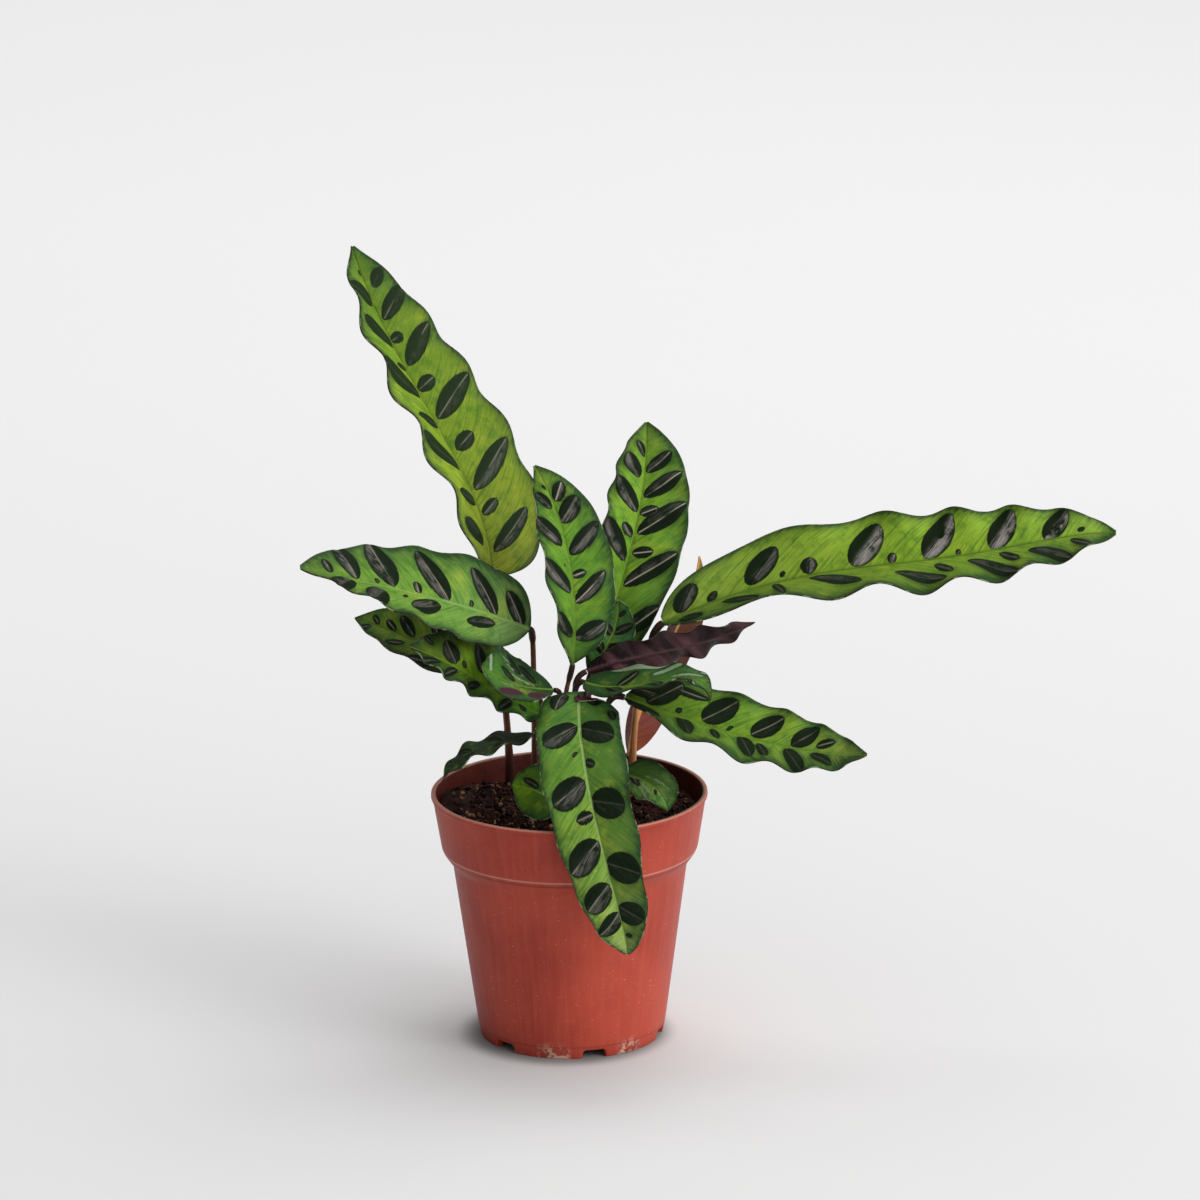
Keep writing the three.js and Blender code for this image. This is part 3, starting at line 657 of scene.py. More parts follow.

# rib, width, face, fold, lobes (right, left), wave: as the solid blades. foot, rise, reach, stalk: its
# stalk's foot, how far it rises straight and leads into the rib, and its radius, mm. green, under: colours of
# the two sides from the foot to the tip; the greens are partly the leaf's own colour and partly painted light
# and shade, such as tall_left's yellowish foot, lit through from behind, and lower_left's dark tip in shade.
# blotches: place along the rib, distance from it (left of it: below 0), half length, half width (mm), lean
# from the rib (degrees), and a kind: 0 dark, 1 purple, 2 pale; a few dark ones are painted shadow. slant: how
# far the side veins run on per mm outwards. sheen: how strong the painted sheen is on one half of a blotch
# (above 0: the half towards the tip). sheenFrom: where along the rib the blotches' painted sheen turns from
# weak to full. crease: how pale their middle line is painted, partly as painted highlight; below 0 it is
# painted darker as crease shade. moss: how green they are. tone: how much lighter or darker the ground colour
# is painted on the right and left half, as painted light and shade. gleam: how strong the painted highlight
# streaks along the veins are on the underside. paleFoot: how far the stalk's own colour reaches down to the
# soil, mm.
leafRows = {
    "tall_left": dict(
        rib=[(-33, 18, 201), (-44, 34, 241), (-70, 54, 286), (-93, 78, 336)], width=57.8, skew=0.02,
        widest=0.34, fullness=0.76, face=[(46, 7), (52, 6), (44, 21)], fold=(31, 26), right=(0.2, 0.9, 5),
        left=(0.23, 0.95, 5), wave=2.6, scallop=0.05, foot=(-26, 38), rise=60, reach=30, stalk=1.6,
        slant=(0.75, 0.8), sheen=(-0.3, 0.08), sheenFrom=(0.45, 0.3), crease=(0.35, 0.1), tone=(0.92, 1.09),
        moss=0.85, ribColour=(98, 118, 50), green=[(131, 138, 45), (113, 136, 35), (85, 112, 38)],
        blotches=[(0.143, 11.6, 13.2, 4.3, 47), (0.228, 5.4, 5.2, 3, 55), (0.341, 14.1, 14.7, 5, 56),
            (0.427, 7.7, 5.6, 3.8, 68), (0.548, 13.4, 13.2, 5.1, 62), (0.605, 5.2, 4.9, 3.4, 75),
            (0.707, 10.9, 11.5, 4.3, 54), (0.74, 3.4, 3.2, 2.6, 80), (0.829, 9.4, 10, 3.9, 54),
            (0.899, 6.2, 4.6, 3, 40), (0.155, -15.5, 9.5, 5.5, 35), (0.269, -11.6, 10, 4, 75),
            (0.417, -14, 14.9, 4.6, 51), (0.508, -10.2, 9.9, 3.3, 75), (0.633, -13.1, 14.1, 5, 52),
            (0.664, -5, 5, 1.7, 78), (0.763, -8.4, 9.5, 4, 42), (0.865, -7.5, 7.5, 5, 55),
            (0.92, -1.2, 1.5, 1.2, 45)]),
    "upper_left": dict(
        rib=[(-16, -6, 184), (-43, -16, 197), (-74, -28, 209), (-114, -40, 222)], width=41.9, skew=0.22,
        widest=0.5, fullness=0.75, face=[(-8, 26), (-15, 78)], fold=(0, 16), right=(0.05, 0.9, 5),
        left=(0.14, 0.88, 5), wave=1.2, scallop=0.03, foot=(-15, 14), rise=68, reach=2, stalk=1.4,
        slant=(0.6, 1.6), sheen=(0.42, 0.3), crease=(0.5, 0.1), marginWide=(2, 0.8),
        ribColour=(120, 150, 80), green=[(102, 128, 80), (99, 136, 54), (90, 117, 44)],
        blotches=[(0.097, 6.1, 9, 4, 45), (0.253, 9.5, 12, 4.2, 50), (0.312, 2.1, 1.9, 1.3, 75),
            (0.49, 11.3, 13.4, 5.6, 55), (0.563, 3.2, 3.2, 2.2, 76), (0.703, 12.4, 12.3, 6, 68),
            (0.728, 2.1, 1.6, 1.1, 70), (0.833, 10.6, 10.6, 4, 72), (0.903, 5, 4.3, 2, 75),
            (0.257, -5, 8.7, 2.7, 10), (0.535, -6.6, 8.7, 4, 22), (0.743, -9.4, 6.8, 5, 60),
            (0.862, -6.5, 6.6, 4.5, 55), (0.622, -3.9, 1.7, 1, 40)]),
    "back_left": dict(
        rib=[(-20, 4, 159), (-47, 14, 165), (-72, 30, 171), (-94, 46, 175)], width=25.7, skew=0.18,
        widest=0.44, fullness=1.28, face=[(0, 45), (0, 44)], fold=(10, 19), right=(0.15, 0.84, 4),
        left=(0.21, 0.89, 4), wave=0.7, scallop=0.078, foot=(-11, 20), rise=34, reach=12, stalk=1.2,
        slant=(1.1, 1.4), sheen=(0.15, 0.15), crease=(0.5, 0.4),
        green=[(96, 117, 31), (90, 108, 27), (106, 141, 62)],
        blotches=[(0.223, 5.8, 6.6, 4, 60), (0.4, 2.8, 5.2, 2.2, 30), (0.52, 9, 5, 2.4, 50),
            (0.667, 5, 6.5, 2.6, 32), (0.753, 2.6, 4, 1.8, 24), (0.85, 2.5, 3, 1.4, 30),
            (0.28, -6, 4.5, 2, 40), (0.473, -7.6, 8, 2.6, 20), (0.673, -4.7, 4.5, 1.6, 20),
            (0.887, -2.9, 3, 1.6, 35)]),
    "lower_left": dict(
        rib=[(-12, -6, 146), (-29, -14, 158), (-48, -22, 172), (-68, -30, 184)], width=31, skew=0.35,
        widest=0.36, fullness=1, face=[(10, 60), (0, 45)], fold=(14, 14), right=(0.2, 0.9, 5),
        left=(0.15, 0.9, 5), wave=1.8, scallop=0.08, foot=(-14, -4), rise=40, reach=10, stalk=1.3,
        slant=(0.8, 1.1), sheen=(0.15, 0.1), crease=(0.3, 0.2), marginWide=(1.8, 1.6),
        green=[(102, 180, 36), (105, 143, 22), (53, 57, 8)],
        # The dark blotch at 0.53, 10 mm to the right, is painted shadow.
        blotches=[(0.2, 8, 7, 3.5, 55), (0.36, 11, 7, 3, 60), (0.53, 10, 7, 2.8, 70),
            (0.723, 5.2, 5.2, 4.2, 45), (0.877, 6, 3, 1.4, 20), (0.62, 3, 2, 1.2, 50),
            (0.167, -2.7, 2.7, 2.2, 60), (0.3, -5.5, 5, 2.4, 50), (0.535, -4.5, 4, 2, 40),
            (0.7, -3.8, 4, 2, 40), (0.85, -3.2, 5.5, 1.7, 15)]),
    "curled_left": dict(
        rib=[(-6, -4, 156), (-18, -13, 160), (-27, -22, 166), (-37, -30, 175)], width=29.5, skew=0.02,
        widest=0.6, fullness=1.17, face=[(10, 59), (6, 50)], fold=(33, 15), right=(0.25, 0.8, 3),
        left=(0.19, 0.86, 3), wave=0.3, scallop=0.013, foot=(-9, 5), rise=40, reach=8, stalk=1.1,
        slant=(1.3, 1.3), sheen=(0.1, 0.1), crease=(0.1, 0), marginWide=(1.4, 1.2),
        green=[(34, 54, 22), (44, 78, 38), (88, 130, 38)],
        blotches=[(0.3, 6, 6, 2, 38), (0.62, 3.5, 6, 1.7, 20), (0.5, 9, 6, 2, 40),
            (0.36, -9.6, 7, 2.6, 4, 1), (0.7, -9.2, 6.5, 2.4, 6, 1), (0.42, 3, 10, 0.45, 12, 2),
            (0.5, 6.5, 9, 0.4, 14, 2), (0.6, 9.6, 8, 0.4, 14, 2), (0.62, -3, 8, 0.4, 10, 2),
            (0.9, 4, 7, 0.9, 78, 2)]),
    "front_upright": dict(
        rib=[(2, -10, 169), (3, -15, 195), (-1, -10, 226), (-14, 0, 256)], width=32.3, skew=0.19, widest=0.5,
        fullness=1.35, face=[(43, -3), (16, 10)], fold=(32, 4), right=(0.08, 0.9, 5), left=(0.02, 0.77, 4),
        wave=1.5, scallop=0.012, foot=(-5, 1), rise=50, reach=9, stalk=1.2, slant=(0.65, 1.6),
        sheen=(-0.42, -0.65), crease=(0.8, 0.15), marginWide=(1.6, 0.8),
        green=[(79, 110, 51), (93, 135, 40), (107, 137, 50)],
        blotches=[(0.217, 7.1, 7.5, 4.8, 65), (0.43, 7.8, 9.5, 3.6, 52), (0.499, 3.5, 3.4, 2, 80),
            (0.641, 8.4, 9.3, 3.6, 59), (0.77, 5.6, 6.5, 4, 55), (0.853, 4.1, 4.3, 3, 45),
            (0.277, -7.1, 8.4, 3, 34), (0.508, -7.5, 9.8, 3.4, 34), (0.708, -6.2, 8, 3.3, 28),
            (0.841, -3.7, 4.6, 2.4, 25), (0.892, -1, 1.5, 0.7, 25), (0.548, -3, 0.9, 0.6, 45)]),
    "back_upright": dict(
        rib=[(10, 12, 155), (25, 24, 202), (33, 38, 234), (35, 54, 261)], width=38.3, skew=0.16, widest=0.48,
        fullness=1.06, face=[(13, 1), (8, 0)], fold=(27, 15), right=(0.18, 0.82, 5), left=(0.28, 0.8, 4),
        wave=1.8, scallop=0.015, foot=(14, 14), rise=40, reach=20, stalk=1.4, slant=(1, 1.3),
        sheen=(0.15, -0.62), crease=(0.8, 0.25), marginWide=(1.5, 0.8), tone=(0.91, 1.1),
        green=[(69, 103, 34), (106, 145, 42), (90, 116, 41)],
        blotches=[(0.193, 13, 9, 3.4, 45), (0.358, 11, 13.5, 4, 46), (0.408, 5.8, 4.8, 2.7, 70),
            (0.557, 10.7, 13.5, 4.6, 43), (0.575, 4.5, 4.5, 2.8, 55), (0.7, 8.7, 11, 4, 43),
            (0.8, 6, 8, 3.4, 38), (0.123, -5.2, 5.5, 4.2, 80), (0.267, -8, 6, 3.4, 50),
            (0.433, -8.7, 11, 4, 39), (0.479, -4, 4.3, 2.4, 50), (0.63, -7.5, 10.5, 4, 37),
            (0.773, -6, 7.5, 3.6, 25), (0.86, -2.4, 5, 2, 20)]),
    "middle_small": dict(
        rib=[(11, 6, 163), (17, 6, 173), (21, 5, 183), (22, 1, 195)], width=18, skew=0.05, widest=0.45,
        fullness=1.1, face=[(4, 0), (7, -1)], fold=(13, 14), right=(0.29, 0.68, 2), left=(0.25, 0.77, 2),
        wave=0.8, scallop=0.04, foot=(8, 7), rise=40, reach=10, stalk=1, marginWide=(0.8, 0.8),
        green=[(123, 200, 82), (58, 99, 61), (89, 127, 42)],
        blotches=[(0.35, 3.5, 5, 2.3, 50), (0.62, 3.5, 5, 2.2, 45), (0.82, 1.8, 2.4, 1.1, 40),
            (0.3, -3.6, 5, 2.3, 50), (0.58, -3.4, 5, 2.2, 45)]),
    "long_right": dict(
        rib=[(40, 10, 181), (108, 6, 204), (155, -2, 212), (197, -10, 221), (236, -16, 227)], width=44.1,
        skew=-0.05, widest=0.34, fullness=0.82, face=[(-12, 61), (-9, 53), (0, 41)], fold=(34, 11),
        right=(0.1, 0.87, 5), left=(-0.05, 0.85, 6), wave=3.5, scallop=0.07, foot=(27, 18), rise=60, reach=4,
        stalk=1.6, slant=(2.6, 0.95), sheen=(0.2, 1.6), sheenFrom=(0.18, 0.32), crease=(0.15, -0.8),
        marginWide=(1.5, 0.9), tone=(0.83, 1.19), moss=0.5, paleFoot=30, stalkColour=(190, 128, 70),
        ribColour=(84, 118, 44), green=[(112, 134, 51), (121, 151, 43), (121, 152, 60)],
        blotches=[(0.04, 8, 4, 2.5, 40), (0.115, 10.3, 8.5, 3, 45), (0.18, 10.5, 8.7, 2, 75),
            (0.293, 8.5, 13, 3.5, 22), (0.49, 11.7, 14, 3, 15), (0.545, 8.2, 6.5, 2.4, 35),
            (0.667, 10.4, 14.5, 3, 22), (0.707, 6, 6.3, 2.2, 28), (0.81, 7.7, 12, 3, 14),
            (0.893, 4.7, 7, 1.9, 22), (0.04, -6.2, 6, 3.2, 62), (0.073, -2.5, 2.4, 1.6, 60),
            (0.155, -8.9, 8.8, 4.6, 50), (0.186, -3, 1.7, 1.2, 60), (0.236, -4.3, 3.8, 3.4, 80),
            (0.357, -9.5, 10.8, 6.8, 48), (0.415, -2.7, 2.5, 2.4, 60), (0.531, -9.6, 11.6, 7, 46),
            (0.577, -1.6, 1.6, 1.5, 50), (0.693, -8, 10, 6.5, 44), (0.829, -5.8, 8.8, 5.2, 34),
            (0.893, -2.3, 2.2, 1.2, 10)]),
    "purple_right": dict(
        rib=[(8, -3, 164), (31, 2, 169), (56, 11, 172), (82, 24, 178)], width=16, skew=0.03, widest=0.45,
        fullness=1.1, face=[(180, 2), (180, 24)], fold=(10, 9), right=(0.22, 0.86, 4), left=(0.3, 0.9, 4),
        wave=2.6, scallop=0.14, foot=(4, 2), rise=45, reach=10, stalk=1.2, gleam=0.42,
        ribColour=(62, 34, 38), green=[(75, 125, 45), (80, 130, 45), (75, 125, 45)],
        under=[(14, 3, 4), (22, 6, 8), (26, 8, 11)], slot="purple_leaf",
        blotches=[(0.3, 3, 4, 1.5, 45), (0.5, 3, 4, 1.5, 45), (0.7, 3, 4, 1.5, 45), (0.3, -3, 4, 1.5, 45),
            (0.5, -3, 4, 1.5, 45), (0.7, -3, 4, 1.5, 45)]),
    "curled_right": dict(
        rib=[(7, -6, 160), (31, -18, 162), (51, -26, 167), (61, -32, 158)], width=23.2, skew=0.01,
        widest=0.28, fullness=1.23, face=[(-3, 68), (21, 86)], fold=(20, 25), right=(0.26, 0.87, 3),
        left=(0.24, 0.78, 3), wave=1.2, scallop=0.087, foot=(2, -5), rise=40, reach=8, stalk=1.2,
        crease=(0.2, 0.4), marginWide=(1.4, 1.2), tone=(1.2, 0.85),
        green=[(40, 64, 32), (72, 104, 50), (92, 138, 54)],
        blotches=[(0.2, 4, 5.5, 2.4, 45), (0.45, 4.5, 6, 2.6, 40), (0.7, 3.5, 5, 2, 40),
            (0.28, -10.4, 15, 1.5, 0, 2), (0.6, 1.5, 11, 0.5, 8, 2), (0.72, 4.5, 8, 0.5, 10, 2),
            (0.66, -2.5, 9, 0.6, 6, 2), (0.5, -6.5, 7, 1.3, 14, 2), (0.84, -6, 7, 0.9, 6, 2),
            (0.25, -4, 5.5, 2.2, 45)]),
    "lower_right": dict(
        rib=[(24, -9, 154), (63, -21, 143), (99, -33, 137), (128, -44, 138)], width=32.9, skew=-0.1,
        widest=0.36, fullness=1.06, face=[(0, 66), (0, 43)], fold=(34, 5), right=(0.05, 0.88, 5),
        left=(0.12, 0.88, 5), wave=2.3, scallop=0.04, foot=(14, -4), rise=44, reach=10, stalk=1.4,
        slant=(1.1, 1), sheen=(0.03, 0.04), crease=(0.1, 0.45), marginWide=(2.4, 1), moss=0.45,
        green=[(83, 102, 29), (112, 149, 49), (108, 114, 56)],
        blotches=[(0.07, 7, 9, 4, 14), (0.06, -6, 8, 3.4, 4), (0.2, -11.5, 9, 2.2, 2),
            (0.235, 5.2, 6, 3.3, 55), (0.345, 5, 4.5, 2, 60), (0.465, 5.6, 6.5, 3.4, 50),
            (0.53, 6, 5, 2.2, 50), (0.66, 6.4, 7.4, 3.6, 40), (0.77, 3.7, 6, 2.6, 18),
            (0.127, -7.8, 8.5, 4.3, 50), (0.192, -2.8, 1.6, 1.3, 50), (0.33, -8.2, 8.5, 5.6, 48),
            (0.383, -2, 1.8, 1, 60), (0.517, -7.1, 8, 4.8, 42), (0.677, -6, 7.5, 4.4, 42),
            (0.773, -4.1, 5, 2.3, 20)]),
    "front_hanging": dict(
        rib=[(5, -13, 156), (5, -32, 147), (10, -60, 121), (19, -70, 85), (24, -72, 58)], width=37,
        skew=0.04, widest=0.35, fullness=0.7, face=[(1, 84), (-8, 32), (10, 5)], fold=(-3, 20),
        right=(0.23, 0.9, 5), left=(0.17, 0.85, 4), wave=2.8, scallop=0.02, foot=(3, -8), rise=42, reach=5,
        stalk=1.4, slant=(0.75, 0.95), sheen=(0.3, 0.03), crease=(0.4, 0.1), marginWide=(0.8, 1.2),
        tone=(1.36, 0.73), ribColour=(140, 164, 100), green=[(58, 96, 48), (93, 125, 48), (123, 139, 81)],
        # The dark blotch at 0.085, 8.5 mm to the right, by the foot, is painted shadow.
        blotches=[(0.085, 8.5, 8, 4, 12), (0.27, 8.8, 8.6, 5.4, 62), (0.342, 3.4, 1.6, 0.9, 50),
            (0.455, 8.7, 8.4, 5.4, 64), (0.527, 4.2, 3.9, 2.4, 80), (0.63, 8.3, 8.6, 5.2, 60),
            (0.748, 7, 7, 4.9, 56), (0.841, 5, 6.4, 4.4, 50), (0.07, -6, 8, 4, 5), (0.2, -14, 5, 2, 10),
            (0.272, -7, 8, 5.6, 68), (0.377, -2.5, 2.4, 2, 60), (0.503, -7.2, 7.5, 5.6, 72),
            (0.682, -7, 7.6, 5.6, 66), (0.82, -4.9, 6, 4.9, 46), (0.897, -2, 1.7, 1.3, 40)]),
    "soil_left": dict(
        rib=[(-3, -21, 111), (-10, -21, 114), (-17, -21, 117), (-25, -21, 119)], width=24, widest=0.45,
        fullness=1, face=[(0, 20), (0, 20)], fold=(5, 5), right=(0.3, 0.7, 2), left=(0.25, 0.75, 2),
        wave=0.5, scallop=0.03, foot=(4, -25), rise=6, reach=4, stalk=0.9,
        green=[(45, 76, 25), (64, 95, 22), (115, 156, 23)],
        blotches=[(0.66, 2.6, 4, 1.7, 12), (0.2, 4, 3, 1.6, 40)]),
    "soil_right": dict(
        rib=[(22, -2, 117), (30, -8, 117), (38, -15, 114), (42.5, -22, 106)], width=21, widest=0.48,
        fullness=1.3, face=[(0, 45), (20, 45)], fold=(15, 10), right=(0.3, 0.7, 2), left=(0.25, 0.75, 2),
        wave=1, scallop=0.05, foot=(18, -10), rise=12, reach=4, stalk=0.9, tone=(1.15, 0.85),
        green=[(70, 112, 46), (84, 116, 52), (112, 166, 84)],
        blotches=[(0.16, 5.5, 6, 3.2, 40), (0.3, 1.5, 6, 1.8, 30), (0.52, 3, 7, 0.45, 12, 2),
            (0.6, 6, 6, 0.45, 16, 2), (0.6, -3.2, 7, 0.45, 10, 2), (0.72, -0.6, 5, 0.4, 4, 2),
            (0.7, 1.8, 2.2, 0.8, 30)]),
    "thin_left": dict(
        rib=[(-15, -9, 138), (-30, -15, 136), (-44, -21, 132), (-55, -25, 121)], width=18, widest=0.45,
        fullness=1.2, face=[(0, 85), (0, 95)], fold=(10, 10), right=(0.2, 0.8, 3), left=(0.25, 0.85, 3),
        wave=1.5, scallop=0.06, foot=(-12, -9), rise=30, reach=6, stalk=1, marginWide=(0.35, 0.35),
        ribColour=(56, 50, 50), green=[(40, 34, 34), (44, 46, 42), (40, 44, 38)],
        blotches=[(0.35, 3.5, 4, 1.6, 45), (0.65, 3.5, 4, 1.6, 45), (0.35, -3.5, 4, 1.6, 45),
            (0.65, -3.5, 4, 1.6, 45)]),
    "rolled_back": dict(
        rib=[(26, 26, 117), (35, 32, 145), (49, 42, 173), (58, 54, 200)], width=25, widest=0.4, fullness=1.2,
        face=[(150, 0), (150, 0)], fold=(50, 60), right=(0.3, 0.8, 2), left=(0.25, 0.75, 2), wave=1,
        scallop=0.05, foot=(24, 24), rise=10, reach=8, stalk=1.5, ribColour=(204, 150, 76),
        green=[(120, 130, 50), (120, 140, 50), (130, 140, 50)],
        under=[(170, 92, 56), (106, 56, 46), (150, 126, 50)], slot="purple_leaf",
        blotches=[]),
}

# What a leaf has where its row says nothing else.
plainLeaf = {
    "skew": 0, "slant": (0.8, 0.8), "sheen": (0.2, 0.2), "sheenFrom": (-1, 0), "crease": (0.2, 0.2),
    "marginWide": (1, 1), "tone": (1, 1), "moss": 0.25, "gleam": 0.15, "slot": "leaf",
    "under": [(78, 34, 44), (70, 30, 40), (74, 34, 42)], "ribColour": (112, 140, 52),
    "stalkColour": (98, 52, 36), "paleFoot": 0,
}
leaves = {name: {**plainLeaf, **row} for name, row in leafRows.items()}


def ribAt(leaf, u):
    return through(leaf["rib"], u)


def ribLength(leaf):
    return np.linalg.norm(np.diff(ribAt(leaf, np.linspace(0, 1, 400)), axis=0), axis=-1).sum()


# The rib's direction: the difference of two near points.
def ribDirection(leaf, u):
    return unit(ribAt(leaf, u + 0.001) - ribAt(leaf, u - 0.001))


# The direction that a turn from the front and a rise give, in degrees.
def lookDirection(turn, rise):
    turn, rise = np.radians(turn), np.radians(rise)
    return np.stack([np.sin(turn) * np.cos(rise), -np.cos(turn) * np.cos(rise), np.sin(rise)], -1)


# A lance: (u/m)^(f m) ((1-u)/(1-m))^(f (1-m)), 1 at the widest place m.
def lanceShape(u, widest, fullness):
    u = np.clip(u, 1e-6, 1 - 1e-6)
    return (u / widest) ** (fullness * widest) * ((1 - u) / (1 - widest)) ** (fullness * (1 - widest))


# A blade's half width on one side (-1 left, 1 right): the lance, drawn to a point by (1 -
# e^((u-1)/taper))^power and rounded at its foot by (1 - e^(-u/taper))^power.
def halfWidth(leaf, u, side):
    tip = (1 - np.exp((np.minimum(u, 1 - 1e-6) - 1) / blade["tipTaper"])) ** blade["tipPower"]
    foot = (1 - np.exp(-np.maximum(u, 1e-6) / blade["footTaper"])) ** blade["footPower"]
    lance = lanceShape(u, leaf["widest"], leaf["fullness"])
    return leaf["width"] / 2 * lance * tip * foot * (1 + leaf["skew"] * side)


# How many lobes lie before u, each one shorter than the last: the inverse of a geometric sum.
def lobeCount(lobes, u):
    first, last, count = lobes
    rest = 1 - (u - first) / (last - first) * (1 - blade["lobeRatio"] ** (count - 1))
    return np.log(np.maximum(rest, 0.02)) / math.log(blade["lobeRatio"])


# What each point's deepest blotch says, and how far its pleats lift the blade. A blotch's field is its half
# width times (1 - t^2)^roundness, t the share of the way along it, less the distance from its middle line:
# positive inside, in mm. A pleat is a wide bell less a narrow one, so a crease runs along the middle line.
def blotchFields(leaf, run, far, sign, sheen):
    length, (dull, sheeny) = ribLength(leaf), leaf["sheenFrom"]
    fields = {"spot": np.full(run.shape, -20.0), "line": np.full(run.shape, 20.0),
              "sheen": np.zeros(run.shape), "kind": np.zeros(run.shape)}
    lift = np.zeros(run.shape)
    for place, middle, long, wide, lean, *kind in leaf["blotches"]:
        turn, ahead, beyond = math.radians(lean), run - place * length, far - abs(middle)
        t = (ahead * math.cos(turn) + beyond * math.sin(turn)) / long
        across = ahead * math.sin(turn) - beyond * math.cos(turn)
        onSide = sign == np.sign(middle)
        body = wide * np.clip(1 - t ** 2, 0, 1) ** blade["roundness"]
        spot = np.where(onSide, body - np.abs(across) - np.maximum(np.abs(t) - 1, 0) * long, -20)
        # The painted sheen: a pale strip beside the middle line on one half of the blotch, weaker on blotches
        # before the place where it turns full.
        sheenRamp = softStep(0, 1, (place - dull) / (sheeny - dull))
        shine = sheen * (blade["dull"] + (1 - blade["dull"]) * sheenRamp)
        towardSheen = np.sign(shine) * across / wide
        fade = 1 - blade["sheenLoss"] * softStep(*blade["sheenFade"], towardSheen)
        strip = softStep(*blade["sheenEdge"], towardSheen) * fade
        first = spot > fields["spot"]
        mine = {"spot": spot, "line": across, "sheen": np.abs(shine) * strip, "kind": kind[0] if kind else 0}
        fields = {key: np.where(first, mine[key], fields[key]) for key in fields}
        narrow = np.exp(-(across / blade["creaseHalf"]) ** 2)
        pleat = np.exp(-(across / wide) ** 2) - blade["creaseDepth"] * narrow
        ends = (1 - softStep(0.6, 1.1, np.abs(t))) * min(1, wide / blade["fullPleat"])
        lift = lift + np.where(onSide, blade["pleat"] * pleat * ends, 0)
    return fields, lift


# The blade's middle surface and what its markings need, on a grid of u along the rib and v across. Each half
# is folded up about the rib; its margin is scalloped and waves up and down by the cosine and the sine of its
# lobes. The side veins leave the rib at a slant of their own: a point's vein is where the vein through it
# starts.
def bladeGrid(leaf, u, v):
    u, v = np.broadcast_arrays(u[:, None], v[None, :])
    rib, along = ribAt(leaf, u), ribDirection(leaf, u)
    look = lookDirection(*np.moveaxis(through(leaf["face"], u), -1, 0))
    up = unit(look - (look * along).sum(-1, keepdims=True) * along)
    side = np.cross(along, up)
    sign, out = np.sign(v), np.abs(v)
    ofSide = lambda pair: np.where(v < 0, pair[1], pair[0])
    half = halfWidth(leaf, u, sign)
    lobes = 2 * math.pi * np.where(v < 0, lobeCount(leaf["left"], u), lobeCount(leaf["right"], u))
    ease = np.sqrt(np.clip(np.sin(math.pi * u), 0, 1))
    distance = half * out * (1 + leaf["scallop"] * np.cos(lobes) * ease * out ** 2)
    edge = half * (1 + leaf["scallop"] * np.cos(lobes) * ease) - distance
    run, far = u * ribLength(leaf), half * out
    vein = run - ofSide(leaf["slant"]) * far - blade["veinBend"] * far ** 2
    fields, lift = blotchFields(leaf, run, far, sign, ofSide(leaf["sheen"]))
    wave = leaf["wave"] * out ** blade["lobeRise"] * np.sin(lobes) * ease
    height = wave - blade["camber"] * half * out ** 2 + lift
    fold = np.radians(leaf["fold"][0] + (leaf["fold"][1] - leaf["fold"][0]) * u)
    lateral = distance * np.cos(fold) - height * np.sin(fold)
    raised = distance * np.sin(fold) + height * np.cos(fold)
    points = rib + side * (sign * lateral)[..., None] + up * raised[..., None]
    fields.update(vein=vein, away=distance, edge=edge, crease=ofSide(leaf["crease"]),
                  band=edge / ofSide(leaf["marginWide"]))
    return points, u, v, fields


# The grid's own normals: the cross product of its two differences, which looks to the upper side.
def gridNormals(points):
    along, across = np.gradient(points, axis=0), np.gradient(points, axis=1)
    return unit(np.cross(across, along))


# The upper face, the lower one and the strip round the margin that joins them.
def bladeFaces(rows, columns):
    ids = np.arange(rows * columns).reshape(rows, columns)
    a, b, c, d = ids[:-1, :-1].ravel(), ids[:-1, 1:].ravel(), ids[1:, 1:].ravel(), ids[1:, :-1].ravel()
    top, bottom = np.stack([a, b, c, d], -1), np.stack([a, d, c, b], -1) + ids.size
    margin = np.concatenate([ids[0, :-1], ids[:-1, -1], ids[-1, :0:-1], ids[:0:-1, 0]])
    after = np.roll(margin, -1)
    strip = np.stack([margin, margin + ids.size, after + ids.size, after], -1)
    sides = np.concatenate([np.zeros(len(top)), np.ones(len(bottom)), np.zeros(len(strip))])
    return np.concatenate([top, bottom, strip]).tolist(), sides


# tall_left becomes tallLeftLeaf or tallLeftStalk.
def pieceName(name, part):
    first, *others = name.split("_")
    return first + "".join(word.title() for word in others) + part


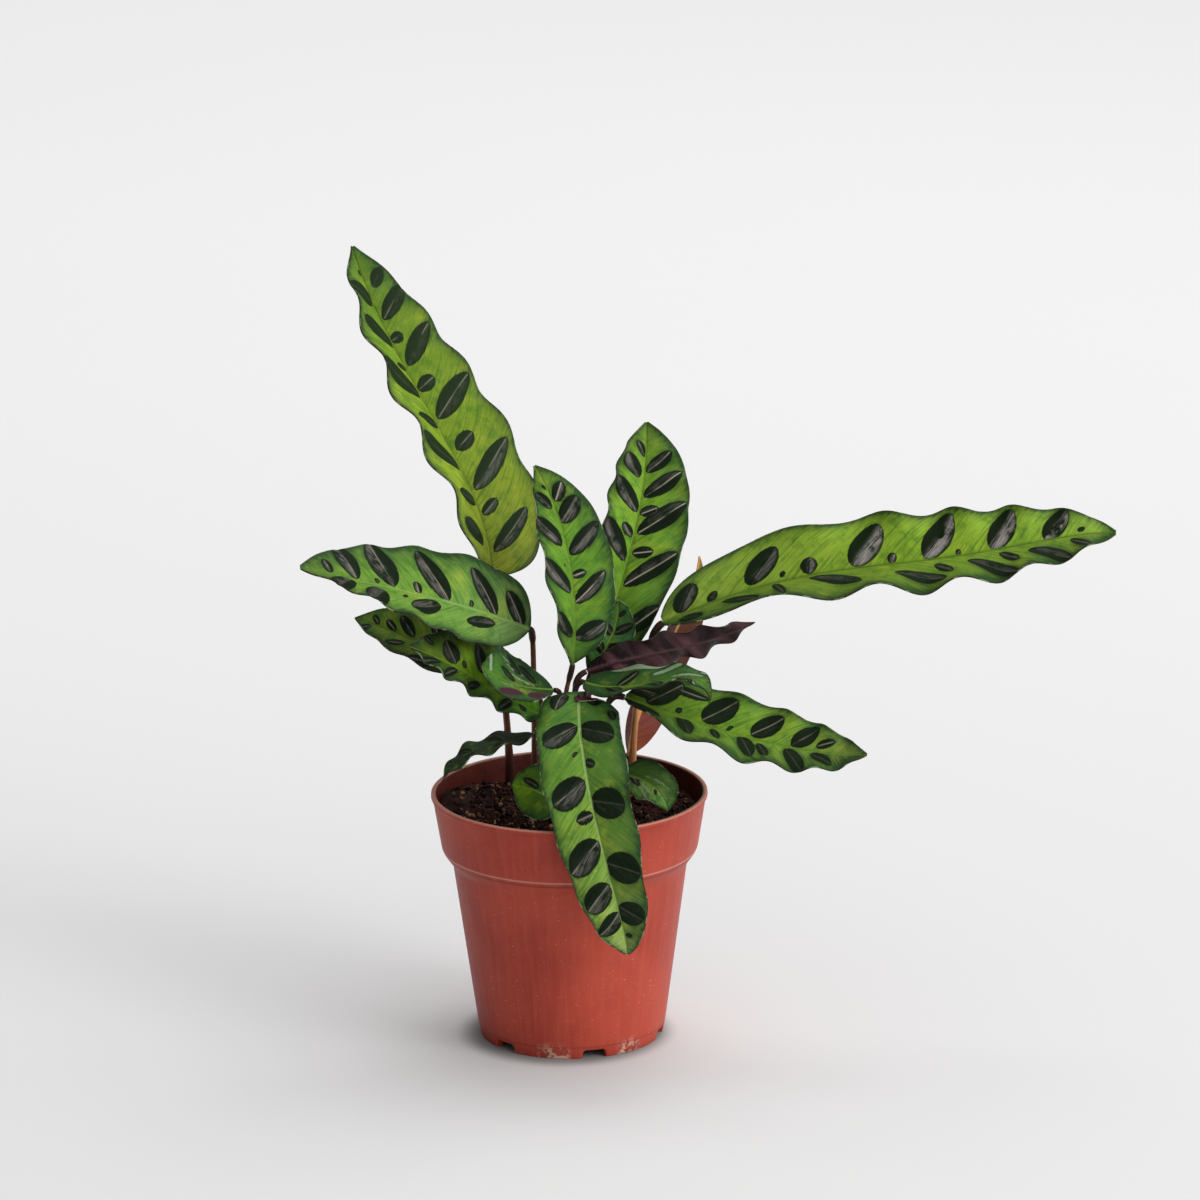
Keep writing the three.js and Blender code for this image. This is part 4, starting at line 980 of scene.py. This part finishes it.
# A leaf: an upper and a lower face half a thickness off the middle surface, with a groove over the rib and a
# ridge under it that narrow towards the tip.
def makeLeaf(name, leaf, materials):
    length = ribLength(leaf)
    rows = int(length / blade["cell"]) + 1
    columns = 2 * max(8, int(leaf["width"] / 2 / blade["cell"] / blade["columnShare"])) + 1
    v = np.linspace(-1, 1, columns)
    v = np.sign(v) * np.abs(v) ** blade["columnPower"]
    points, u, v, fields = bladeGrid(leaf, np.linspace(blade["start"], blade["end"], rows), v)
    normals = gridNormals(points)
    ribHalf = blade["ribHalf"] * (1 - blade["ribThinning"] * u)
    nearRib = np.exp(-(fields["away"] / ribHalf) ** 2)
    groove = blade["ribGroove"] * nearRib
    ridge = blade["ribRidge"] * (1 - blade["ridgeThinning"] * u) * nearRib
    upper = points + normals * (blade["thickness"] / 2 - groove)[..., None]
    lower = points - normals * (blade["thickness"] / 2 + ridge)[..., None]
    faces, sides = bladeFaces(rows, columns)

    count = rows * columns
    both = lambda values: np.concatenate([values.ravel(), values.ravel()])
    # Each half's ground colour is painted lighter or darker by its tone: painted light and shade for how that
    # half faces the light.
    right = softStep(-0.12, 0.12, v.reshape(-1))[:, None]
    tone = leaf["tone"][0] * right + leaf["tone"][1] * (1 - right)
    sideColour = lambda key: linear(np.clip(through(leaf[key], u.reshape(-1)), 0, 255))
    ground = np.concatenate([sideColour("green") * tone, sideColour("under")])
    numbers = {key: both(values) for key, values in fields.items()}
    numbers["ribEdge"] = both(fields["away"] - ribHalf)
    for key in ("moss", "gleam"):
        numbers[key] = np.full(2 * count, leaf[key])
    ribTint = np.repeat(linear(leaf["ribColour"])[None], 2 * count, 0)
    uv = np.stack([both(u) * length, both(np.sign(v) * fields["away"])], -1) / blade["uvSize"]
    shell, colours = np.concatenate([upper, lower]).reshape(-1, 3), {"ground": ground, "ribTint": ribTint}
    piece = makePiece(pieceName(name, "Leaf"), shell, faces, materials, sides, numbers, colours, uv,
                      blade["sharpAngle"])
    seat(piece, "blade_" + name)


# Fine parallel side veins: noise stretched along them.
def fillVeins(tree, inputs):
    place = join(attribute(tree, "vein"), attribute(tree, "away") * 0.09)
    fine, wide = noise(place, inputs["Scale"], 3.0, 0.6), noise(place, inputs["Scale"] * 0.3, 2.0, 0.5)
    return {"Fine": fine, "Wide": wide}


veinGroup = newGroup("sideVeins", {"Scale": 1.0}, {"Fine": numberKind, "Wide": numberKind}, fillVeins)

leafColours = {
    # Sheen: the colour of the painted sheen on the blotches
    "Blotch": (10, 19, 11), "BlotchGreen": (28, 44, 20), "Sheen": (140, 134, 130),
    # BlotchVein: the blotches' pale middle line, partly painted highlight
    "BlotchVein": (150, 142, 126), "Purple": (62, 34, 44), "Pale": (118, 138, 108), "Yellow": (152, 164, 46),
    "VeinGreen": (50, 92, 28), "Margin": (30, 56, 32), "MarginLine": (44, 40, 28),
    "MarginPale": (128, 138, 104),
}
leafFinish = {
    "cloud": (60, 3), "patch": (170, 4, 0.6), "veinScale": 1.5,      # noises over the blade
    "tints": [("cloud", 0.5, 0.75, 0.35, "Yellow"), ("patch", 0.48, 0.7, 0.5, "VeinGreen"),
              ("patch", 0.46, 0.3, 0.25, "Yellow"), ("Fine", 0.44, 0.66, 0.5, "VeinGreen"),
              ("Wide", 0.5, 0.7, 0.5, "VeinGreen")],      # noise, where it begins and is full, share, colour
    "halo": 0.7, "dusk": 0.45, "margin": 0.8, "marginLine": 0.85, "rib": 0.7, "greenStreaks": 0.6,    # shares
    "gloss": 0.4, "glossVeins": 0.16, "specular": 0.06, "bump": 0.0004,
}
underFinish = {
    # gleam: the colour of the painted highlight streaks
    "veinScale": 1.2, "vein": (44, 20, 28), "veinShare": 0.4, "gleam": (118, 78, 84),
    "streaks": (11, 2, 0.5, 0.4), "streakLean": 0.7, "streakStretch": 0.35, "specular": 0.16, "bump": 0.0005,
}


# The upper side's markings: ground green with yellow clouds and streaks along its side veins, and a dark band
# inside the margin that joins the blotches; dark blotches with a painted sheen strip beside their middle
# line, which the crease share paints paler, partly as painted highlight, when above 0 and darker, as painted
# crease shade, when below 0; a rib line; and a thin line at the very edge, pale in places.
def fillMarkings(tree, inputs):
    value = lambda name: attribute(tree, name)
    veins, place = useGroup(tree, veinGroup, Scale=leafFinish["veinScale"]), objectPlace(tree)
    noises = {**veins, **{key: noise(place, *leafFinish[key]) for key in ("cloud", "patch")}}
    cloud, patch, fine, wide = [noises[key] for key in ("cloud", "patch", "Fine", "Wide")]
    colour = attribute(tree, "ground", "Color")
    for source, low, high, share, tint in leafFinish["tints"]:
        colour = blend(band(noises[source], low, high) * share, colour, inputs[tint])
    spot, inner = value("spot"), value("band") + (cloud * 3.0 + (wide * 5.0 - 4.0))
    halo = band(spot, -3.6, 0.2) * band(inner, 8.0, 3.0) * leafFinish["halo"]
    dusk = halo.math("MAXIMUM", band(inner, 6.5, 1.0) * leafFinish["dusk"])
    colour = blend(dusk, colour, inputs["Margin"])
    colour = blend(band(inner, 2.4, 0.4) * leafFinish["margin"], colour, inputs["Margin"])

    greenish = value("moss").math("MAXIMUM", band(fine, 0.42, 0.66) * leafFinish["greenStreaks"])
    dark = blend(greenish, inputs["Blotch"], inputs["BlotchGreen"])
    # Painted sheen: a strip of the blotch turned towards the Sheen colour.
    sheeny = value("sheen") * band(fine, 0.34, 0.6) * band(patch, 0.34, 0.56) * band(spot, 0.2, 1.6)
    dark = blend(sheeny, dark, inputs["Sheen"])
    # The middle line: painted paler with the crease share above 0, partly as painted highlight, and darker
    # below 0 as painted crease shade.
    middle = band(value("line").math("ABSOLUTE"), 0.5, 0.12) * band(spot, 0.3, 1.6) * band(cloud, 0.36, 0.56)
    paler, kind = middle * value("crease"), value("kind")
    dark = blend(paler, dark, inputs["BlotchVein"])
    dark = blend(paler * -1.0, dark, inputs["Blotch"])
    dark = blend(band(kind, 0.2, 0.8), dark, inputs["Purple"])
    dark = blend(band(kind, 1.2, 1.8), dark, inputs["Pale"])
    colour = blend(band(spot + (fine * 1.2 - 0.6), -0.25, 0.3), colour, dark)

    onRib = band(value("ribEdge"), 0.0, -0.35) * leafFinish["rib"]
    colour = blend(onRib, colour, attribute(tree, "ribTint", "Color"))
    rim = blend(band(patch, 0.5, 0.6), inputs["MarginLine"], inputs["MarginPale"])
    colour = blend(band(value("edge"), 0.5, 0.15) * leafFinish["marginLine"], colour, rim)
    return {"Colour": colour, "Roughness": fine * leafFinish["glossVeins"] + inputs["Gloss"],
            "Height": fine * 0.6 + wide * 0.8}


markingInputs = {**{key: rgba(colour) for key, colour in leafColours.items()}, "Gloss": leafFinish["gloss"]}
markingOutputs = {"Colour": colourKind, "Roughness": numberKind, "Height": numberKind}
markingGroup = newGroup("leafMarkings", markingInputs, markingOutputs, fillMarkings)


def upperFinish(tree):
    marks = useGroup(tree, markingGroup)
    return {"Base Color": marks["Colour"], "Roughness": marks["Roughness"],
            "Normal": bump(marks["Height"], leafFinish["bump"])}


# The underside: maroon with darker side veins, soft painted highlight streaks that lean with them, and the
# rib.
def lowerFinish(tree):
    fine = useGroup(tree, veinGroup, Scale=underFinish["veinScale"])["Fine"]
    veins = band(fine, 0.45, 0.65) * underFinish["veinShare"]
    shade = blend(veins, attribute(tree, "ground", "Color"), rgba(underFinish["vein"]))
    along, across, _ = split(Wire(addNode(tree, "ShaderNodeUVMap", uv_map="surface").outputs[0]))
    place = join(across * underFinish["streakLean"] + along, across * underFinish["streakStretch"])
    streaks = band(noise(place, *underFinish["streaks"]), 0.44, 0.72)
    shade = blend(streaks * attribute(tree, "gleam"), shade, rgba(underFinish["gleam"]))
    shade = blend(band(attribute(tree, "ribEdge"), 0.2, -0.3), shade, attribute(tree, "ribTint", "Color"))
    return {"Base Color": shade, "Roughness": fine * 0.2 + 0.34, "Normal": bump(fine, underFinish["bump"])}


leafMaterials = [newMaterial("leafUpper", leafFinish["specular"], upperFinish),
                 newMaterial("leafUnderside", underFinish["specular"], lowerFinish)]
for name, leaf in leaves.items():
    makeLeaf(name, leaf, leafMaterials)
print("leaves made:", len(leaves))


stalk = {
    "depth": 12, "taper": 0.8, "jointLength": 9, "jointSwell": 1.35, "footFlare": 0.35, "flareHeight": 30,
    "sides": 20, "step": 1.4, "gap": 0.3, "ringTurn": (0.3, 1, 0.1), "sharpAngle": 50,
    "jointColour": (48, 28, 22), "streak": (132, 82, 44), "streakShare": 0.5, "base": (60, 30, 26),
    "grain": (1400, 3), "grainStretch": (1, 1, 0.06), "specular": 0.5, "bump": 0.0003,
}


# The stalk's path: a cubic curve straight up out of the soil and in line with the rib at the blade.
def stalkCurve(leaf, t):
    x, y = leaf["foot"]
    foot = np.array([x, y, soilHeight(x, y) - stalk["depth"]])
    start = np.float64(blade["start"])
    along = ribDirection(leaf, start)
    head = ribAt(leaf, start) - along * stalk["gap"]
    above = foot + np.array([0, 0, stalk["depth"] + leaf["rise"]])
    before = head - along * leaf["reach"]
    t = t[:, None]
    return foot * (1 - t) ** 3 + 3 * above * t * (1 - t) ** 2 + 3 * before * t ** 2 * (1 - t) + head * t ** 3


# The stalk's radius: a straight taper, a swollen joint that eases off at the blade, and a flare at the soil.
def stalkRadius(leaf, run, length):
    toHead, joint = length - run, stalk["jointLength"]
    swollen = (1 - softStep(joint - 2, joint + 1, toHead)) * softStep(-3, 2, toHead)
    flared = 1 - softStep(0, stalk["flareHeight"], run - stalk["depth"])
    taper = 1 + (stalk["taper"] - 1) * run / length
    swell, flare = 1 + (stalk["jointSwell"] - 1) * swollen, 1 + stalk["footFlare"] * flared
    return leaf["stalk"] * taper * swell * flare


# A tube of rings square to the path: a ring's first side vector is the cross product of the path's direction
# and a fixed one, its second the cross product of the path's direction and the first.
def makeStalk(name, leaf, material):
    dense = stalkCurve(leaf, np.linspace(0, 1, 400))
    runs = np.concatenate([[0], np.cumsum(np.linalg.norm(np.diff(dense, axis=0), axis=-1))])
    rings, columns = int(runs[-1] / stalk["step"]) + 2, stalk["sides"]
    run = np.linspace(0, runs[-1], rings)
    centre = np.stack([np.interp(run, runs, dense[:, k]) for k in range(3)], -1)
    tangent = unit(np.gradient(centre, axis=0))
    sideways = unit(np.cross(tangent, np.array(stalk["ringTurn"])))
    other = np.cross(tangent, sideways)
    turn = np.arange(columns) * 2 * math.pi / columns
    ring = np.cos(turn)[None, :, None] * sideways[:, None] + np.sin(turn)[None, :, None] * other[:, None]
    radius = stalkRadius(leaf, run, runs[-1])
    points = (centre[:, None] + ring * radius[:, None, None]).reshape(-1, 3)
    caps = [tuple(range(columns - 1, -1, -1)), tuple((rings - 1) * columns + k for k in range(columns))]
    joint = stalk["jointLength"]
    inJoint = np.repeat(1 - softStep(joint - 1, joint + 2, runs[-1] - run), columns)
    aboveSoil = np.repeat(run - stalk["depth"], columns)
    tint = np.repeat(linear(leaf["stalkColour"])[None], len(points), 0)
    numbers = {"joint": inJoint, "along": aboveSoil + leaf["paleFoot"]}
    piece = makePiece(pieceName(name, "Stalk"), points, tubeQuads(rings, columns).tolist() + caps, [material],
                      numbers=numbers, colours={"tint": tint}, sharp=stalk["sharpAngle"])
    seat(piece, "stalk_" + name)


# Reddish brown with light streaks along the stalk, darker at the soil and on the swollen joint.
def stalkFinish(tree):
    stretch = {"Vector": objectPlace(tree), "Scale": stalk["grainStretch"]}
    grain = noise(Wire(addNode(tree, "ShaderNodeMapping", stretch).outputs[0]), *stalk["grain"])
    streaks = band(grain, 0.45, 0.7) * stalk["streakShare"]
    shade = blend(streaks, attribute(tree, "tint", "Color"), rgba(stalk["streak"]))
    shade = blend(band(attribute(tree, "along"), 30.0, 2.0), shade, rgba(stalk["base"]))
    shade = blend(attribute(tree, "joint"), shade, rgba(stalk["jointColour"]))
    return {"Base Color": shade, "Roughness": grain * 0.25 + 0.3, "Normal": bump(grain, stalk["bump"])}


stalkMaterial = newMaterial("reddishStalk", stalk["specular"], stalkFinish)
for name, leaf in leaves.items():
    makeStalk(name, leaf, stalkMaterial)
print("stalks made:", len(leaves))
